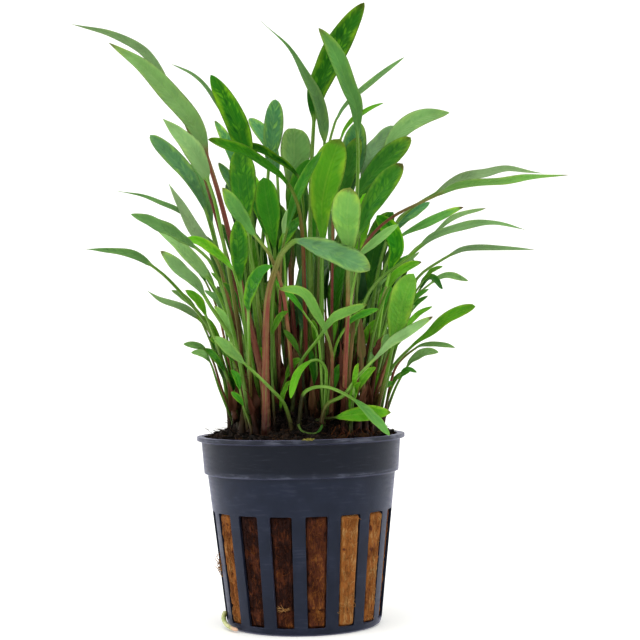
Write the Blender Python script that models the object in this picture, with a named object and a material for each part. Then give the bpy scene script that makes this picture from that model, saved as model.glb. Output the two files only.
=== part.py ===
# A young potted cryptocoryne: a clump of long-stalked, narrow leaves in a slotted net pot
# filled with rock wool. Metres, +Z up. The origin is the centre of the pot's flat underside,
# +X is the right-hand side seen from the front, and +Y points to the back.

import math

import bmesh
import bpy
import numpy as np
from mathutils import Vector

MM = 0.001
GAP = 0.35                 # clearance between pieces that touch, mm

# Net pot, mm
POT_HEIGHT = 50.0
LIP_RADIUS = 27.5
LIP_THICKNESS = 1.0
BAND_TOP_RADIUS = 26.3
BAND_LOW_RADIUS = 25.7
BAND_LOW_Z = 40.4
STEP_RADIUS = 24.8         # outer wall just under the plain band
FOOT_RADIUS = 20.5         # outer wall just above the rounded bottom corner
FOOT_Z = 1.6
UNDERSIDE_RADIUS = 19.3
WALL = 0.8
FLOOR = 1.0
POT_SIDES = 64

# Slots in the pot, mm and degrees
SLOT_COUNT = 16
SLOT_FIRST_ANGLE = 9.5     # from the front, towards the right
SLOT_LOW_Z = 2.0
SLOT_TOP_Z = 30.5
SLOT_LOW_WIDTH = 4.6
SLOT_TOP_WIDTH = 5.8
DRAIN_COUNT = 8
DRAIN_INNER_RADIUS = 8.0
DRAIN_OUTER_RADIUS = 15.5
DRAIN_WIDTH = 2.4

# Rock wool plug and the dark peat on it, mm
WOOL_TOP_Z = 46.8
PEAT_TOP_Z = 50.0
PEAT_SIDES = 40
PEAT_DIP = 0.9

# How the plant was seen: distances in mm from the pot's axis, level of the eye above the floor.
# Leaf paths below are measured as they look from there, in the upright plane through the axis.
EYE_DISTANCE = 425.0
EYE_X = 5.2
EYE_Z = 74.0
PICTURE_LEAN = 0.02        # the picture leans to the left by this slope

# Leaves, mm
STALK_STEPS = 12
BLADE_STEPS = 12
STATIONS = STALK_STEPS + BLADE_STEPS + 1
BLADE_THICKNESS = 0.5
TIP_THICKNESS = 0.2
BLADE_FOLD = 0.22          # how far the margins rise, as a share of the half width
STALK_TAPER = 0.35         # how much of its width a stalk loses on its way to the blade
ROOT_RADIUS_LIMIT = 21.3   # how far from the axis a stalk may leave the peat
LEAF_CLEARANCE = 0.45

COLOURS = {
    "pot_plastic": ("2b3040", 0.38),
    "rock_wool": ("9a6a30", 0.95),
    "peat": ("2a1c12", 0.95),
    "root": ("c9c79a", 0.55),
    "leaf_bright": ("72a832", 0.42),
    "leaf_green": ("4a8a2a", 0.42),
    "leaf_dark": ("2c6a1c", 0.40),
    "leaf_sage": ("86a76c", 0.48),
    "leaf_blue": ("5c8a68", 0.46),
}

# One leaf a row. Its fields are the node's name, the colour, the blade's length and width and
# the stalk's width in mm, the blade's roll in degrees (0 faces the front, 90 faces up), the
# depth of its foot and of its tip behind the pot's axis in mm, and the path of the midrib seen
# from the front as (across, up) in mm, where the first point is the foot in the peat.
LEAVES = [
    # Left side, from the top down
    ("leaf_left_01", "leaf_bright", 41, 5.8, 1.8, 28, -14, 5,
     [(-9.4, 51), (-11.3, 65), (-14.7, 80), (-20.3, 104), (-23.5, 116), (-26.3, 124.5),
      (-29.5, 132), (-36.2, 140.5), (-44.1, 148.4), (-52.3, 154.2)]),
    ("leaf_left_02", "leaf_sage", 36, 3.4, 1.2, 35, 6, 32,
     [(-8, 51), (-14, 73), (-20, 95), (-26, 116), (-31, 131), (-41.7, 150.3), (-50.7, 155.8), (-62.1, 159.1)]),
    ("leaf_left_03", "leaf_sage", 21, 5.2, 1.4, 25, -3, -12,
     [(-15.8, 52), (-17.1, 75), (-19.5, 90), (-21.6, 101), (-24.5, 114), (-28.5, 123), (-31.1, 127),
      (-37.8, 133.9)]),
    ("leaf_left_04", "leaf_blue", 26, 5.4, 1.3, 25, 3, 16,
     [(-16.8, 52), (-19.2, 78), (-21.1, 88.5), (-22.7, 96), (-26.2, 109), (-31.1, 118.7), (-35.1, 123),
      (-41.1, 129.5)]),
    ("leaf_left_05", "leaf_dark", 18, 3.4, 1.1, 30, 9, 38,
     [(-12.5, 51), (-19, 82), (-24.9, 107), (-26.8, 114.7), (-30.2, 122.4)]),
    ("leaf_left_06", "leaf_sage", 22, 4.0, 1.3, 30, 1, 7,
     [(-12, 51), (-17.6, 73), (-20.3, 86), (-23.5, 96.5), (-28.5, 102.6), (-31.1, 107), (-36.2, 116.7)]),
    ("leaf_left_07", "leaf_green", 20, 3.9, 1.2, 35, -10, -40,
     [(-14, 51), (-18.2, 74), (-21.9, 88.5), (-25.7, 96.7), (-29.8, 100), (-36.4, 104), (-46.2, 108.4)]),
    ("leaf_left_08", "leaf_sage", 20, 3.8, 1.2, 32, 1, -4,
     [(-16.2, 52), (-19.7, 78), (-23.5, 88.2), (-27.7, 93.8), (-33, 99.4), (-39.9, 104.8)]),
    ("leaf_left_09", "leaf_bright", 17, 3.0, 1.1, 35, -4, -18,
     [(-10.4, 51), (-15.5, 78), (-18.4, 92.4), (-20.3, 95.1), (-24.2, 98.6), (-28.5, 101.2), (-32.9, 101.4)]),
    ("leaf_left_10", "leaf_green", 19, 2.5, 1.2, 35, -1, -10,
     [(-17.8, 52), (-21.1, 67), (-25.3, 78), (-30.6, 85), (-37.8, 92.6), (-44.4, 97), (-49.2, 98.3),
      (-58.7, 99.2)]),
    ("leaf_left_11", "leaf_green", 17, 4.0, 1.4, 30, -5, -26,
     [(-13, 51), (-17.9, 72), (-21.3, 78.4), (-24.8, 83.7), (-28.5, 89.5), (-33, 93.3), (-38.3, 98.6)]),
    ("leaf_left_12", "leaf_sage", 16, 2.6, 1.1, 35, 2, 14,
     [(-18.6, 52), (-21.9, 68.6), (-25.8, 78), (-31.4, 82.9), (-38.3, 85.6), (-42, 88.2)]),
    ("leaf_left_13", "leaf_green", 22, 1.8, 0.9, 35, 11, 44,
     [(-10, 51), (-17, 78), (-24, 97), (-29.5, 106), (-33.8, 109.4), (-43.3, 113.3), (-50, 114.6)]),
    ("leaf_left_14", "leaf_bright", 11, 3.2, 1.1, 30, -15, -27,
     [(-3.2, 51), (-5.4, 58), (-8.9, 62), (-12.1, 65.2), (-17.6, 70.2), (-20.8, 73.1), (-24.2, 75.8)]),

    # Middle, left of the axis
    ("leaf_middle_01", "leaf_dark", 30, 6.4, 1.5, 20, 5, 12,
     [(-9, 51), (-12.3, 75), (-14.3, 96.7), (-14.6, 111), (-15.5, 121.6), (-18.2, 132.2), (-25, 145.6)]),
    ("leaf_middle_02", "leaf_green", 26, 4.8, 1.4, 45, -5, -34,
     [(1, 51), (0, 86), (-0.7, 104.4), (-2.5, 113.4), (-5.7, 117.7), (-10.2, 121.4), (-15.6, 124.3),
      (-25.7, 128.3)]),
    ("leaf_middle_03", "leaf_dark", 21, 3.4, 1.2, 40, 7, 12,
     [(3, 51), (1.8, 80), (0.4, 101.8), (-1.3, 117.4), (-3.6, 120.3), (-7.8, 123.2), (-13.1, 125.9),
      (-19.5, 127.5)]),
    ("leaf_middle_04", "leaf_blue", 20, 5.8, 1.4, 20, 11, 34,
     [(-6, 51), (-11.3, 91.2), (-10.2, 112.4), (-9.1, 125.6), (-7.7, 139)]),
    ("leaf_middle_05", "leaf_blue", 18, 5.0, 1.3, 25, 13, 46,
     [(-2, 51), (-6.5, 101.8), (-7.3, 119), (-8.9, 125.3), (-11.5, 130.1), (-14.7, 134)]),
    ("leaf_middle_06", "leaf_sage", 21, 8.8, 1.4, 15, 9, 24,
     [(0, 51), (-3.8, 91.2), (-3.4, 112.4), (-3.0, 119.5), (-2.6, 131.3)]),
    ("leaf_middle_07", "leaf_blue", 16, 3.4, 1.1, 30, 10, 40,
     [(-11, 51), (-14, 80), (-16.3, 104.4), (-18.2, 119), (-20.8, 127.5), (-23.9, 133.4)]),
    ("leaf_middle_08", "leaf_green", 16, 4.0, 1.3, 25, -9, -36,
     [(-2, 51), (-5.4, 86), (-8.9, 97), (-12.3, 101.5), (-15.8, 106), (-19.7, 111.8), (-21.9, 115.5)]),
    ("leaf_middle_09", "leaf_dark", 17, 4.9, 1.3, 20, -5, -36,
     [(-13, 51), (-15.8, 78), (-17.4, 93.8), (-17.6, 100.4), (-18.2, 106.7)]),
    ("leaf_middle_10", "leaf_green", 20, 6.0, 1.4, 15, -8, -34,
     [(-7, 51), (-8.6, 78), (-7.9, 96.5), (-8.6, 103.6), (-10.2, 112.4), (-11, 118.2)]),

    # Middle, right of the axis
    ("leaf_middle_11", "leaf_dark", 35, 7.6, 1.5, 15, 4, 8,
     [(3, 51), (2, 80.6), (1.5, 107), (2, 124.8), (3.3, 140.2), (6.8, 148.1), (10.7, 156.1), (15.9, 164.9)]),
    ("leaf_middle_12", "leaf_green", 32, 5.0, 1.4, 15, -1, -3,
     [(10, 51), (12.1, 86), (13.9, 113), (14.2, 123), (13.6, 137), (11.5, 142.3), (8.9, 149.2), (6.2, 154.5),
      (3.7, 158.1)]),
    ("leaf_middle_13", "leaf_green", 38, 3.9, 1.2, 30, 1, -10,
     [(4, 51), (3.6, 80.6), (4.6, 112.4), (5.3, 127.5), (3.6, 137.5), (0.1, 145.4), (-4.6, 153.2),
      (-12.1, 160.3)]),
    ("leaf_middle_14", "leaf_green", 26, 2.0, 1.1, 35, 6, 30,
     [(5, 51), (4.6, 107), (6.5, 128), (7.6, 131.7), (11, 137.5), (18.9, 144.4), (26.6, 150.3)]),
    ("leaf_middle_15", "leaf_sage", 24, 6.4, 1.4, 25, 15, 44,
     [(11, 51), (12.6, 78), (16, 101.8), (19.5, 117.7), (23.2, 126.7), (26.6, 130.9), (31.9, 134.1),
      (38.6, 135.5)]),
    ("leaf_middle_16", "leaf_blue", 18, 4.8, 1.3, 25, 12, 40,
     [(12, 51), (12.1, 86), (14.2, 112.4), (17.4, 123.8), (20.8, 128.3), (23.7, 132)]),
    ("leaf_middle_17", "leaf_blue", 22, 7.2, 1.4, 15, 10, 34,
     [(9, 51), (11, 90), (12.1, 116.1), (13.4, 125.6), (14.2, 133)]),
    ("leaf_middle_18", "leaf_bright", 31, 8.6, 1.6, 10, -6, -17,
     [(5, 51), (4.6, 78), (4.6, 95.7), (4.9, 102.6), (4.6, 111), (6.5, 120.3), (9.4, 128.5)]),
    ("leaf_middle_19", "leaf_bright", 20, 7.4, 1.5, 15, -11, -38,
     [(10, 51), (10.7, 65), (11.5, 84.5), (11.5, 93), (11.8, 99.5), (11.3, 107.9), (12.1, 115.5)]),
    ("leaf_middle_20", "leaf_green", 23, 6.2, 1.4, 20, 5, 11,
     [(11, 51), (11.5, 80.6), (12.6, 101.8), (14.7, 114), (18.2, 119), (23.2, 124), (28.2, 128.9)]),
    ("leaf_middle_21", "leaf_green", 23, 6.4, 1.4, 25, -1, -8,
     [(13, 51), (12.1, 78), (12.9, 99.6), (15.5, 104.7), (17.6, 110.5), (22.1, 116.6), (26.1, 121.9)]),

    # Right side, from the top down
    ("leaf_right_01", "leaf_sage", 30, 4.4, 1.3, 40, 3, 24,
     [(15, 51), (18.7, 88.5), (22.5, 103), (27.8, 109.5), (37.8, 115.6), (41.2, 117.4), (46.8, 118.9),
      (53.4, 120.2), (63.5, 119.3)]),
    ("leaf_right_02", "leaf_bright", 36, 4.2, 1.2, 45, 0, -6,
     [(9, 51), (11.5, 78), (15, 98.3), (22.1, 106.8), (33.3, 112.6), (41.2, 115.8), (52.6, 116.9),
      (59, 117.9), (70.5, 118.9)]),
    ("leaf_right_03", "leaf_green", 19, 3.0, 1.2, 40, 6, 13,
     [(16, 51), (19.5, 88.5), (25, 101.8), (28.2, 103.9), (33.5, 106.3), (39.9, 109.4), (42.3, 110.3)]),
    ("leaf_right_04", "leaf_sage", 18, 1.8, 1.0, 35, 9, 40,
     [(18, 51), (22, 80), (26.6, 95.9), (34.1, 102.8), (39.9, 107.6), (48.2, 110)]),
    ("leaf_right_05", "leaf_green", 30, 3.2, 1.2, 35, -3, -28,
     [(8, 51), (12.6, 75), (17.4, 88.2), (21.3, 92.2), (28.2, 97.3), (33.5, 102), (42.5, 105.2),
      (50.7, 106), (58.6, 104.3)]),
    ("leaf_right_06", "leaf_green", 23, 2.6, 1.1, 40, 4, 6,
     [(17, 51), (22.7, 78), (29.8, 91.2), (35.9, 95.9), (42.5, 99), (52.1, 99.2), (61.1, 99)]),
    ("leaf_right_07", "leaf_sage", 11, 2.4, 0.9, 35, 8, 38,
     [(19, 51), (23, 70), (26.6, 83.2), (33.3, 89.8), (37.8, 92), (43.5, 90.7)]),
    ("leaf_right_08", "leaf_bright", 12, 3.0, 1.1, 35, -4, -11,
     [(14, 51), (17, 70), (20, 83.2), (24.2, 92), (28.2, 94.6), (31.1, 95.7)]),
    ("leaf_right_09", "leaf_bright", 21, 6.8, 1.3, 20, -8, -40,
     [(17.8, 51), (22.1, 67.3), (24.2, 77.4), (26.4, 86), (29, 92.6)]),
    ("leaf_right_10", "leaf_dark", 18, 5.0, 1.2, 20, 2, -2,
     [(16.5, 51), (20.5, 83.2), (22.9, 94.3), (24.5, 99.1), (23.2, 104), (19.2, 108.1)]),
    ("leaf_right_11", "leaf_sage", 15, 2.8, 1.0, 25, -6, -16,
     [(11, 51), (12.1, 83.2), (15, 97.3), (18.7, 100.7), (21.9, 103.4), (25, 105.7)]),
    ("leaf_right_12", "leaf_bright", 22, 3.4, 1.2, 35, -3, -21,
     [(19.5, 51), (20.8, 59.4), (22.9, 67), (28.2, 73), (33.5, 77), (38.6, 81.1), (45.4, 83.9)]),
    ("leaf_right_13", "leaf_sage", 20, 3.2, 1.2, 30, -15, -31,
     [(4.2, 51), (5.7, 57.5), (10.5, 60.4), (13.9, 65), (18.7, 70), (22.9, 74.1), (26.9, 76.6), (34.1, 81.2)]),
    ("leaf_right_14", "leaf_sage", 10, 2.6, 0.9, 30, 5, 22,
     [(20, 51), (24, 62), (27.7, 68.6), (29.8, 70.5), (32.5, 71.8), (35.6, 71.8)]),

    # Low leaves at the front
    ("leaf_front_01", "leaf_bright", 15, 4.2, 1.2, 25, -13, -23,
     [(-1.2, 51), (3.3, 53.6), (7.6, 54.3), (14.2, 55.2), (22.9, 55.7)]),
    ("leaf_front_02", "leaf_green", 14, 2.8, 1.2, 25, -15, -23,
     [(-1.6, 51), (-0.4, 60.5), (3.3, 62.5), (7.6, 62), (13.6, 58.8), (18.7, 53.8), (22.6, 49.6)]),
    ("leaf_front_03", "leaf_bright", 12, 2.2, 1.2, 20, -13, -22,
     [(4.8, 51), (5.7, 66.8), (3, 69.8), (-0.9, 67.3), (-2.5, 64.1), (-3.7, 59.4)]),
    ("leaf_front_04", "leaf_bright", 20, 3.2, 1.3, 25, -11, -21,
     [(7, 51), (7.3, 70.2), (6.5, 74.7), (4.6, 79.2), (0.4, 86.4), (-2, 88), (-7, 88.5)]),
    ("leaf_front_05", "leaf_blue", 22, 6.8, 2.1, 20, -16, -35,
     [(-10.2, 51), (-10.3, 72), (-10.2, 80), (-9.4, 88.5), (-5.7, 98.6), (-2.3, 101.2), (3.6, 99.6),
      (10.7, 96.5), (17.4, 93.5)]),
    ("leaf_front_06", "leaf_bright", 15, 2.8, 1.2, 30, -12, -25,
     [(-4, 51), (-1.5, 67.8), (3.6, 75.3), (7.6, 80.6), (10.2, 81.9), (16.6, 84.4)]),
    ("leaf_front_07", "leaf_dark", 15, 3.7, 1.2, 20, -9, -38,
     [(-14, 51), (-14.6, 70), (-15, 85.1), (-14.2, 88.2), (-11.8, 92.8), (-8.7, 94.7)]),
]

# Root tip at the lower left corner of the pot: distance from the axis, degrees from the front
# towards the right, and height
ROOT_PATH = [(21.0, -82, 3.7), (21.6, -78, 2.6), (21.75, -70, 1.6), (21.7, -60, 1.0), (21.5, -52, 0.85)]
ROOT_RADIUS = 0.55
ROOT_SIDES = 6


def clear_scene():
    for item in list(bpy.data.objects):
        bpy.data.objects.remove(item, do_unlink=True)


def linear(value):
    if value <= 0.04045:
        return value / 12.92
    return ((value + 0.055) / 1.055) ** 2.4


def material(name):
    """One plain finish for each material of the plant and its pot."""
    if name in bpy.data.materials:
        return bpy.data.materials[name]
    hex_colour, roughness = COLOURS[name]
    made = bpy.data.materials.new(name)
    made.use_nodes = True
    shader = made.node_tree.nodes["Principled BSDF"]
    rgb = [linear(int(hex_colour[i:i + 2], 16) / 255) for i in (0, 2, 4)]
    shader.inputs["Base Color"].default_value = (*rgb, 1.0)
    shader.inputs["Roughness"].default_value = roughness
    shader.inputs["Metallic"].default_value = 0.0
    return made


def mesh_object(name, finish, points_mm, faces):
    """A named object from points in mm and faces, with its faces pointing out."""
    mesh = bpy.data.meshes.new(name)
    mesh.from_pydata([tuple(float(c) * MM for c in p) for p in points_mm], [], faces)
    work = bmesh.new()
    work.from_mesh(mesh)
    bmesh.ops.recalc_face_normals(work, faces=work.faces)
    work.to_mesh(mesh)
    work.free()
    mesh.materials.append(material(finish))
    made = bpy.data.objects.new(name, mesh)
    bpy.context.collection.objects.link(made)
    return made


def around(radius, degrees, z):
    """A point by its distance from the axis, its angle from the front to the right, and its height."""
    turn = math.radians(degrees)
    return (radius * math.sin(turn), -radius * math.cos(turn), z)


def turned(name, finish, profile, sides):
    """A solid turned about the axis. The profile starts and ends on the axis."""
    points = []
    rings = []
    for radius, z in profile:
        if radius == 0:
            rings.append([len(points)] * sides)
            points.append((0, 0, z))
        else:
            rings.append(list(range(len(points), len(points) + sides)))
            points += [around(radius, 360 * i / sides, z) for i in range(sides)]
    faces = []
    for low, high in zip(rings, rings[1:]):
        for i in range(sides):
            j = (i + 1) % sides
            corners = [low[i], low[j], high[j], high[i]]
            faces.append(list(dict.fromkeys(corners)))
    return mesh_object(name, finish, points, faces)


def shade_round(made, degrees=40):
    made.data.shade_smooth()
    made.data.set_sharp_from_angle(angle=math.radians(degrees))


def cut(made, cutter):
    """Takes the cutter's blocks out of the object."""
    cutter.hide_render = True
    cutter.display_type = "WIRE"
    step = made.modifiers.new("cut " + cutter.name, "BOOLEAN")
    step.operation = "DIFFERENCE"
    step.solver = "EXACT"
    step.object = cutter


def wall_radius(z):
    """Outer radius of the slotted wall at a height."""
    share = (z - FOOT_Z) / (BAND_LOW_Z - FOOT_Z)
    return FOOT_RADIUS + (STEP_RADIUS - FOOT_RADIUS) * share


def blocks(name, corner_sets):
    """Separate six-sided blocks in one cutter. Each has a lower and an upper ring of four corners."""
    points = []
    faces = []
    for corners in corner_sets:
        first = len(points)
        points += corners
        quads = [(3, 2, 1, 0), (4, 5, 6, 7), (0, 1, 5, 4), (1, 2, 6, 5), (2, 3, 7, 6), (3, 0, 4, 7)]
        faces += [[first + i for i in quad] for quad in quads]
    return mesh_object(name, "pot_plastic", points, faces)


def across_wall(degrees, radius, side, z):
    """A point at a distance from the axis and sideways from the middle of a slot."""
    turn = math.radians(degrees)
    return (radius * math.sin(turn) + side * math.cos(turn), -radius * math.cos(turn) + side * math.sin(turn), z)


def make_pot():
    inner_low = FOOT_RADIUS - WALL
    profile = [
        (0, 0),
        (UNDERSIDE_RADIUS, 0),
        (UNDERSIDE_RADIUS + 0.8, 0.5),
        (FOOT_RADIUS, FOOT_Z),
        (STEP_RADIUS, BAND_LOW_Z - 0.4),
        (BAND_LOW_RADIUS, BAND_LOW_Z),
        (BAND_TOP_RADIUS, POT_HEIGHT - LIP_THICKNESS - 0.4),
        (LIP_RADIUS, POT_HEIGHT - LIP_THICKNESS),
        (LIP_RADIUS, POT_HEIGHT),
        (BAND_TOP_RADIUS - WALL, POT_HEIGHT),
        (BAND_LOW_RADIUS - WALL, BAND_LOW_Z + 0.3),
        (STEP_RADIUS - WALL, BAND_LOW_Z - 0.2),
        (inner_low, FOOT_Z + 0.3),
        (inner_low - 0.7, FLOOR),
        (0, FLOOR),
    ]
    pot = turned("pot", "pot_plastic", profile, POT_SIDES)

    slots = []
    for i in range(SLOT_COUNT):
        angle = SLOT_FIRST_ANGLE + 360 / SLOT_COUNT * i
        corners = []
        for z, width in ((SLOT_LOW_Z, SLOT_LOW_WIDTH), (SLOT_TOP_Z, SLOT_TOP_WIDTH)):
            middle = wall_radius(z) - WALL / 2
            for depth, side in ((-2, -1), (-2, 1), (2, 1), (2, -1)):
                corners.append(across_wall(angle, middle + depth, side * width / 2, z))
        slots.append(corners)
    cut(pot, blocks("slot_cutter", slots))

    drains = []
    for i in range(DRAIN_COUNT):
        angle = SLOT_FIRST_ANGLE + 360 / DRAIN_COUNT * i
        corners = []
        for z in (-1, FLOOR + 1):
            for radius, side in ((DRAIN_INNER_RADIUS, -1), (DRAIN_INNER_RADIUS, 1),
                                 (DRAIN_OUTER_RADIUS, 1), (DRAIN_OUTER_RADIUS, -1)):
                corners.append(across_wall(angle, radius, side * DRAIN_WIDTH / 2, z))
        drains.append(corners)
    cut(pot, blocks("drain_cutter", drains))
    shade_round(pot)


def make_rock_wool():
    inner_low = FOOT_RADIUS - WALL
    profile = [
        (0, FLOOR + GAP),
        (inner_low - 1.2, FLOOR + GAP),
        (inner_low - GAP, FOOT_Z + 0.9),
        (STEP_RADIUS - WALL - 0.5, BAND_LOW_Z - 0.8),
        (BAND_LOW_RADIUS - WALL - 0.5, BAND_LOW_Z + 1.1),
        (BAND_TOP_RADIUS - WALL - 0.6, WOOL_TOP_Z),
        (0, WOOL_TOP_Z),
    ]
    wool = turned("rock_wool", "rock_wool", profile, POT_SIDES)
    shade_round(wool)


def make_peat():
    """The dark crumbly top: flat where the stalks stand, with hollows towards the pot's lip."""
    outer = BAND_TOP_RADIUS - WALL - GAP
    rings = [
        (outer - 0.15, WOOL_TOP_Z + GAP, 0),
        (outer, PEAT_TOP_Z - 1.3, 0.3),
        (outer - 0.9, PEAT_TOP_Z, 1.0),
        (outer - 2.6, PEAT_TOP_Z, 0.8),
        (ROOT_RADIUS_LIMIT - 0.6, PEAT_TOP_Z, 0),
    ]
    points = [(0, 0, WOOL_TOP_Z + GAP)]
    for radius, z, share in rings:
        for i in range(PEAT_SIDES):
            wave = 0.5 + 0.3 * math.sin(5 * i + radius) + 0.2 * math.sin(11 * i)
            points.append(around(radius, 360 * i / PEAT_SIDES, z - PEAT_DIP * share * wave))
    points.append((0, 0, PEAT_TOP_Z))
    faces = []
    for i in range(PEAT_SIDES):
        j = (i + 1) % PEAT_SIDES
        faces.append([0, 1 + j, 1 + i])
        for ring in range(len(rings) - 1):
            low = 1 + ring * PEAT_SIDES
            high = low + PEAT_SIDES
            faces.append([low + i, low + j, high + j, high + i])
        faces.append([high + i, high + j, len(points) - 1])
    peat = mesh_object("peat_top", "peat", points, faces)
    shade_round(peat)


def make_root_tip():
    middle = [Vector(around(*place)) for place in ROOT_PATH]
    points = []
    faces = []
    for k, centre in enumerate(middle):
        along = (middle[min(k + 1, len(middle) - 1)] - middle[max(k - 1, 0)]).normalized()
        side = along.cross(Vector((0, 0, 1))).normalized()
        up = side.cross(along)
        radius = ROOT_RADIUS * (1 - 0.35 * k / (len(middle) - 1))
        for i in range(ROOT_SIDES):
            turn = 2 * math.pi * i / ROOT_SIDES
            points.append(centre + radius * (math.cos(turn) * side + math.sin(turn) * up))
    for k in range(len(middle) - 1):
        for i in range(ROOT_SIDES):
            j = (i + 1) % ROOT_SIDES
            low = k * ROOT_SIDES
            faces.append([low + i, low + j, low + ROOT_SIDES + j, low + ROOT_SIDES + i])
    last = len(points) - ROOT_SIDES
    faces.append(list(range(ROOT_SIDES)))
    faces.append(list(range(last, last + ROOT_SIDES)))
    shade_round(mesh_object("root_tip", "root", points, faces), 60)


def smooth_path(points, steps=14):
    """A smooth curve through hand-placed points, with its length so far at each of its points."""
    rows = np.array(points, dtype=float)
    ends = np.vstack([2 * rows[0] - rows[1], rows, 2 * rows[-1] - rows[-2]])
    curve = []
    for p0, p1, p2, p3 in zip(ends, ends[1:], ends[2:], ends[3:]):
        lead = (p2 - p0) / 2 * min(1, 2 * np.linalg.norm(p2 - p1) / np.linalg.norm(p2 - p0))
        trail = (p3 - p1) / 2 * min(1, 2 * np.linalg.norm(p2 - p1) / np.linalg.norm(p3 - p1))
        for t in np.arange(steps) / steps:
            curve.append((2 * t ** 3 - 3 * t ** 2 + 1) * p1 + (t ** 3 - 2 * t ** 2 + t) * lead
                         + (3 * t ** 2 - 2 * t ** 3) * p2 + (t ** 3 - t ** 2) * trail)
    curve = np.array(curve + [rows[-1]])
    length = np.concatenate([[0], np.cumsum(np.linalg.norm(np.diff(curve, axis=0), axis=1))])
    return curve, length


def stations(row):
    """Where a leaf's stations lie as seen from the front, and how deep each one is at first."""
    path, blade, foot_depth, tip_depth = row[8], row[2], row[6], row[7]
    curve, length = smooth_path(path)
    stalk = length[-1] - blade
    marks = np.concatenate([np.linspace(0, stalk, STALK_STEPS + 1),
                            stalk + np.linspace(0, blade, BLADE_STEPS + 1)[1:]])
    seen = np.column_stack([np.interp(marks, length, curve[:, axis]) for axis in (0, 1)])
    depth = foot_depth + (tip_depth - foot_depth) * (marks / length[-1]) ** 1.4
    return seen, depth


def blade_share(t):
    """Width of a blade along its length, from 0 at its foot through 1 to 0 at its tip."""
    return (t ** 0.95 * (1 - t) ** 0.72) / 0.3257


def widths(row):
    """Width and thickness of a leaf at each station."""
    blade_width, stalk_width = row[3], row[4]
    top = stalk_width * (1 - STALK_TAPER)
    wide = []
    thick = []
    for k in range(STATIONS):
        if k <= STALK_STEPS:
            wide.append(stalk_width * (1 - STALK_TAPER * k / STALK_STEPS))
            thick.append(wide[-1] * 0.9)
        else:
            t = (k - STALK_STEPS) / BLADE_STEPS
            wide.append(math.hypot(top * (1 - t), blade_width * blade_share(t)))
            thin = BLADE_THICKNESS + (TIP_THICKNESS - BLADE_THICKNESS) * t
            thick.append(max(thin, top * 0.9 * (1 - 4 * t)))
    return np.array(wide), np.array(thick)


def near_places(rows, seen):
    """Pairs of places on two leaves that cross as seen from the front, with the depth they need."""
    parts = 5
    marks = np.arange((STATIONS - 1) * parts + 1) / parts
    low = np.minimum(marks.astype(int), STATIONS - 2)
    share = marks - low
    spots = []
    half_seen = []
    half_deep = []
    for row, path in zip(rows, seen):
        spots.append(path[low] * (1 - share[:, None]) + path[low + 1] * share[:, None])
        wide, thick = widths(row)
        roll = math.radians(row[5])
        across = np.where(np.arange(STATIONS) <= STALK_STEPS, wide, wide * abs(math.cos(roll)))
        deep = np.where(np.arange(STATIONS) <= STALK_STEPS, wide, thick + wide * abs(math.sin(roll)))
        half_seen.append(np.interp(marks, range(STATIONS), across / 2))
        half_deep.append(np.interp(marks, range(STATIONS), deep / 2))
    found = []
    for a in range(len(rows)):
        for b in range(a + 1, len(rows)):
            apart = np.linalg.norm(spots[a][:, None] - spots[b][None], axis=2)
            reach = half_seen[a][:, None] + half_seen[b][None] + LEAF_CLEARANCE
            i, j = np.nonzero(apart < reach)
            need = (half_deep[a][i] + half_deep[b][j] + LEAF_CLEARANCE)
            need = need * (1 - (apart[i, j] / reach[i, j]) ** 4) ** 0.25
            found.append(np.column_stack([np.full(len(i), a), low[i], share[i],
                                          np.full(len(i), b), low[j], share[j], need]))
    return np.vstack(found)


def make_room(rows, seen, depth):
    """Slides leaves that cross apart in depth until each has room, and keeps every leaf smooth."""
    pairs = near_places(rows, seen)
    a, ka, wa, b, kb, wb, need = pairs.T
    a, ka, b, kb = (column.astype(int) for column in (a, ka, b, kb))
    depth = depth.copy()
    for _ in range(400):
        near = depth[a, ka] * (1 - wa) + depth[a, ka + 1] * wa
        far = depth[b, kb] * (1 - wb) + depth[b, kb + 1] * wb
        between = near - far
        short = np.maximum(0, need - np.abs(between))
        if short.max() < 0.02:
            break
        move = short / 2 * np.where(between < 0, -1, 1)
        push = np.zeros_like(depth)
        count = np.zeros_like(depth)
        for leaf, k, share, sign in ((a, ka, wa, 1), (b, kb, wb, -1)):
            hit = move != 0
            for step, weight in ((0, 1 - share), (1, share)):
                np.add.at(push, (leaf[hit], k[hit] + step), sign * move[hit] * weight[hit])
                np.add.at(count, (leaf[hit], k[hit] + step), weight[hit])
        push = push / np.maximum(count, 1)
        for _ in range(5):
            wide = np.pad(push, ((0, 0), (1, 1)), mode="edge")
            push = (wide[:, :-2] + 2 * wide[:, 1:-1] + wide[:, 2:]) / 4
        depth += push
        foot_x = seen[:, 0, 0] + PICTURE_LEAN * seen[:, 0, 1]
        limit = np.sqrt(np.maximum(ROOT_RADIUS_LIMIT ** 2 - foot_x ** 2, 1))
        over = depth[:, 0] - np.clip(depth[:, 0], -limit, limit)
        fade = np.linspace(1, 0, STALK_STEPS + 1) ** 2
        depth[:, :STALK_STEPS + 1] -= over[:, None] * fade
    return depth


def place(across, up, depth):
    """A point seen in the upright plane through the axis, moved back along the line of sight."""
    x = across + PICTURE_LEAN * up
    z = up - PICTURE_LEAN * across
    scale = 1 + depth / EYE_DISTANCE
    return Vector((EYE_X + (x - EYE_X) * scale, depth, EYE_Z + (z - EYE_Z) * scale))


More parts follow.
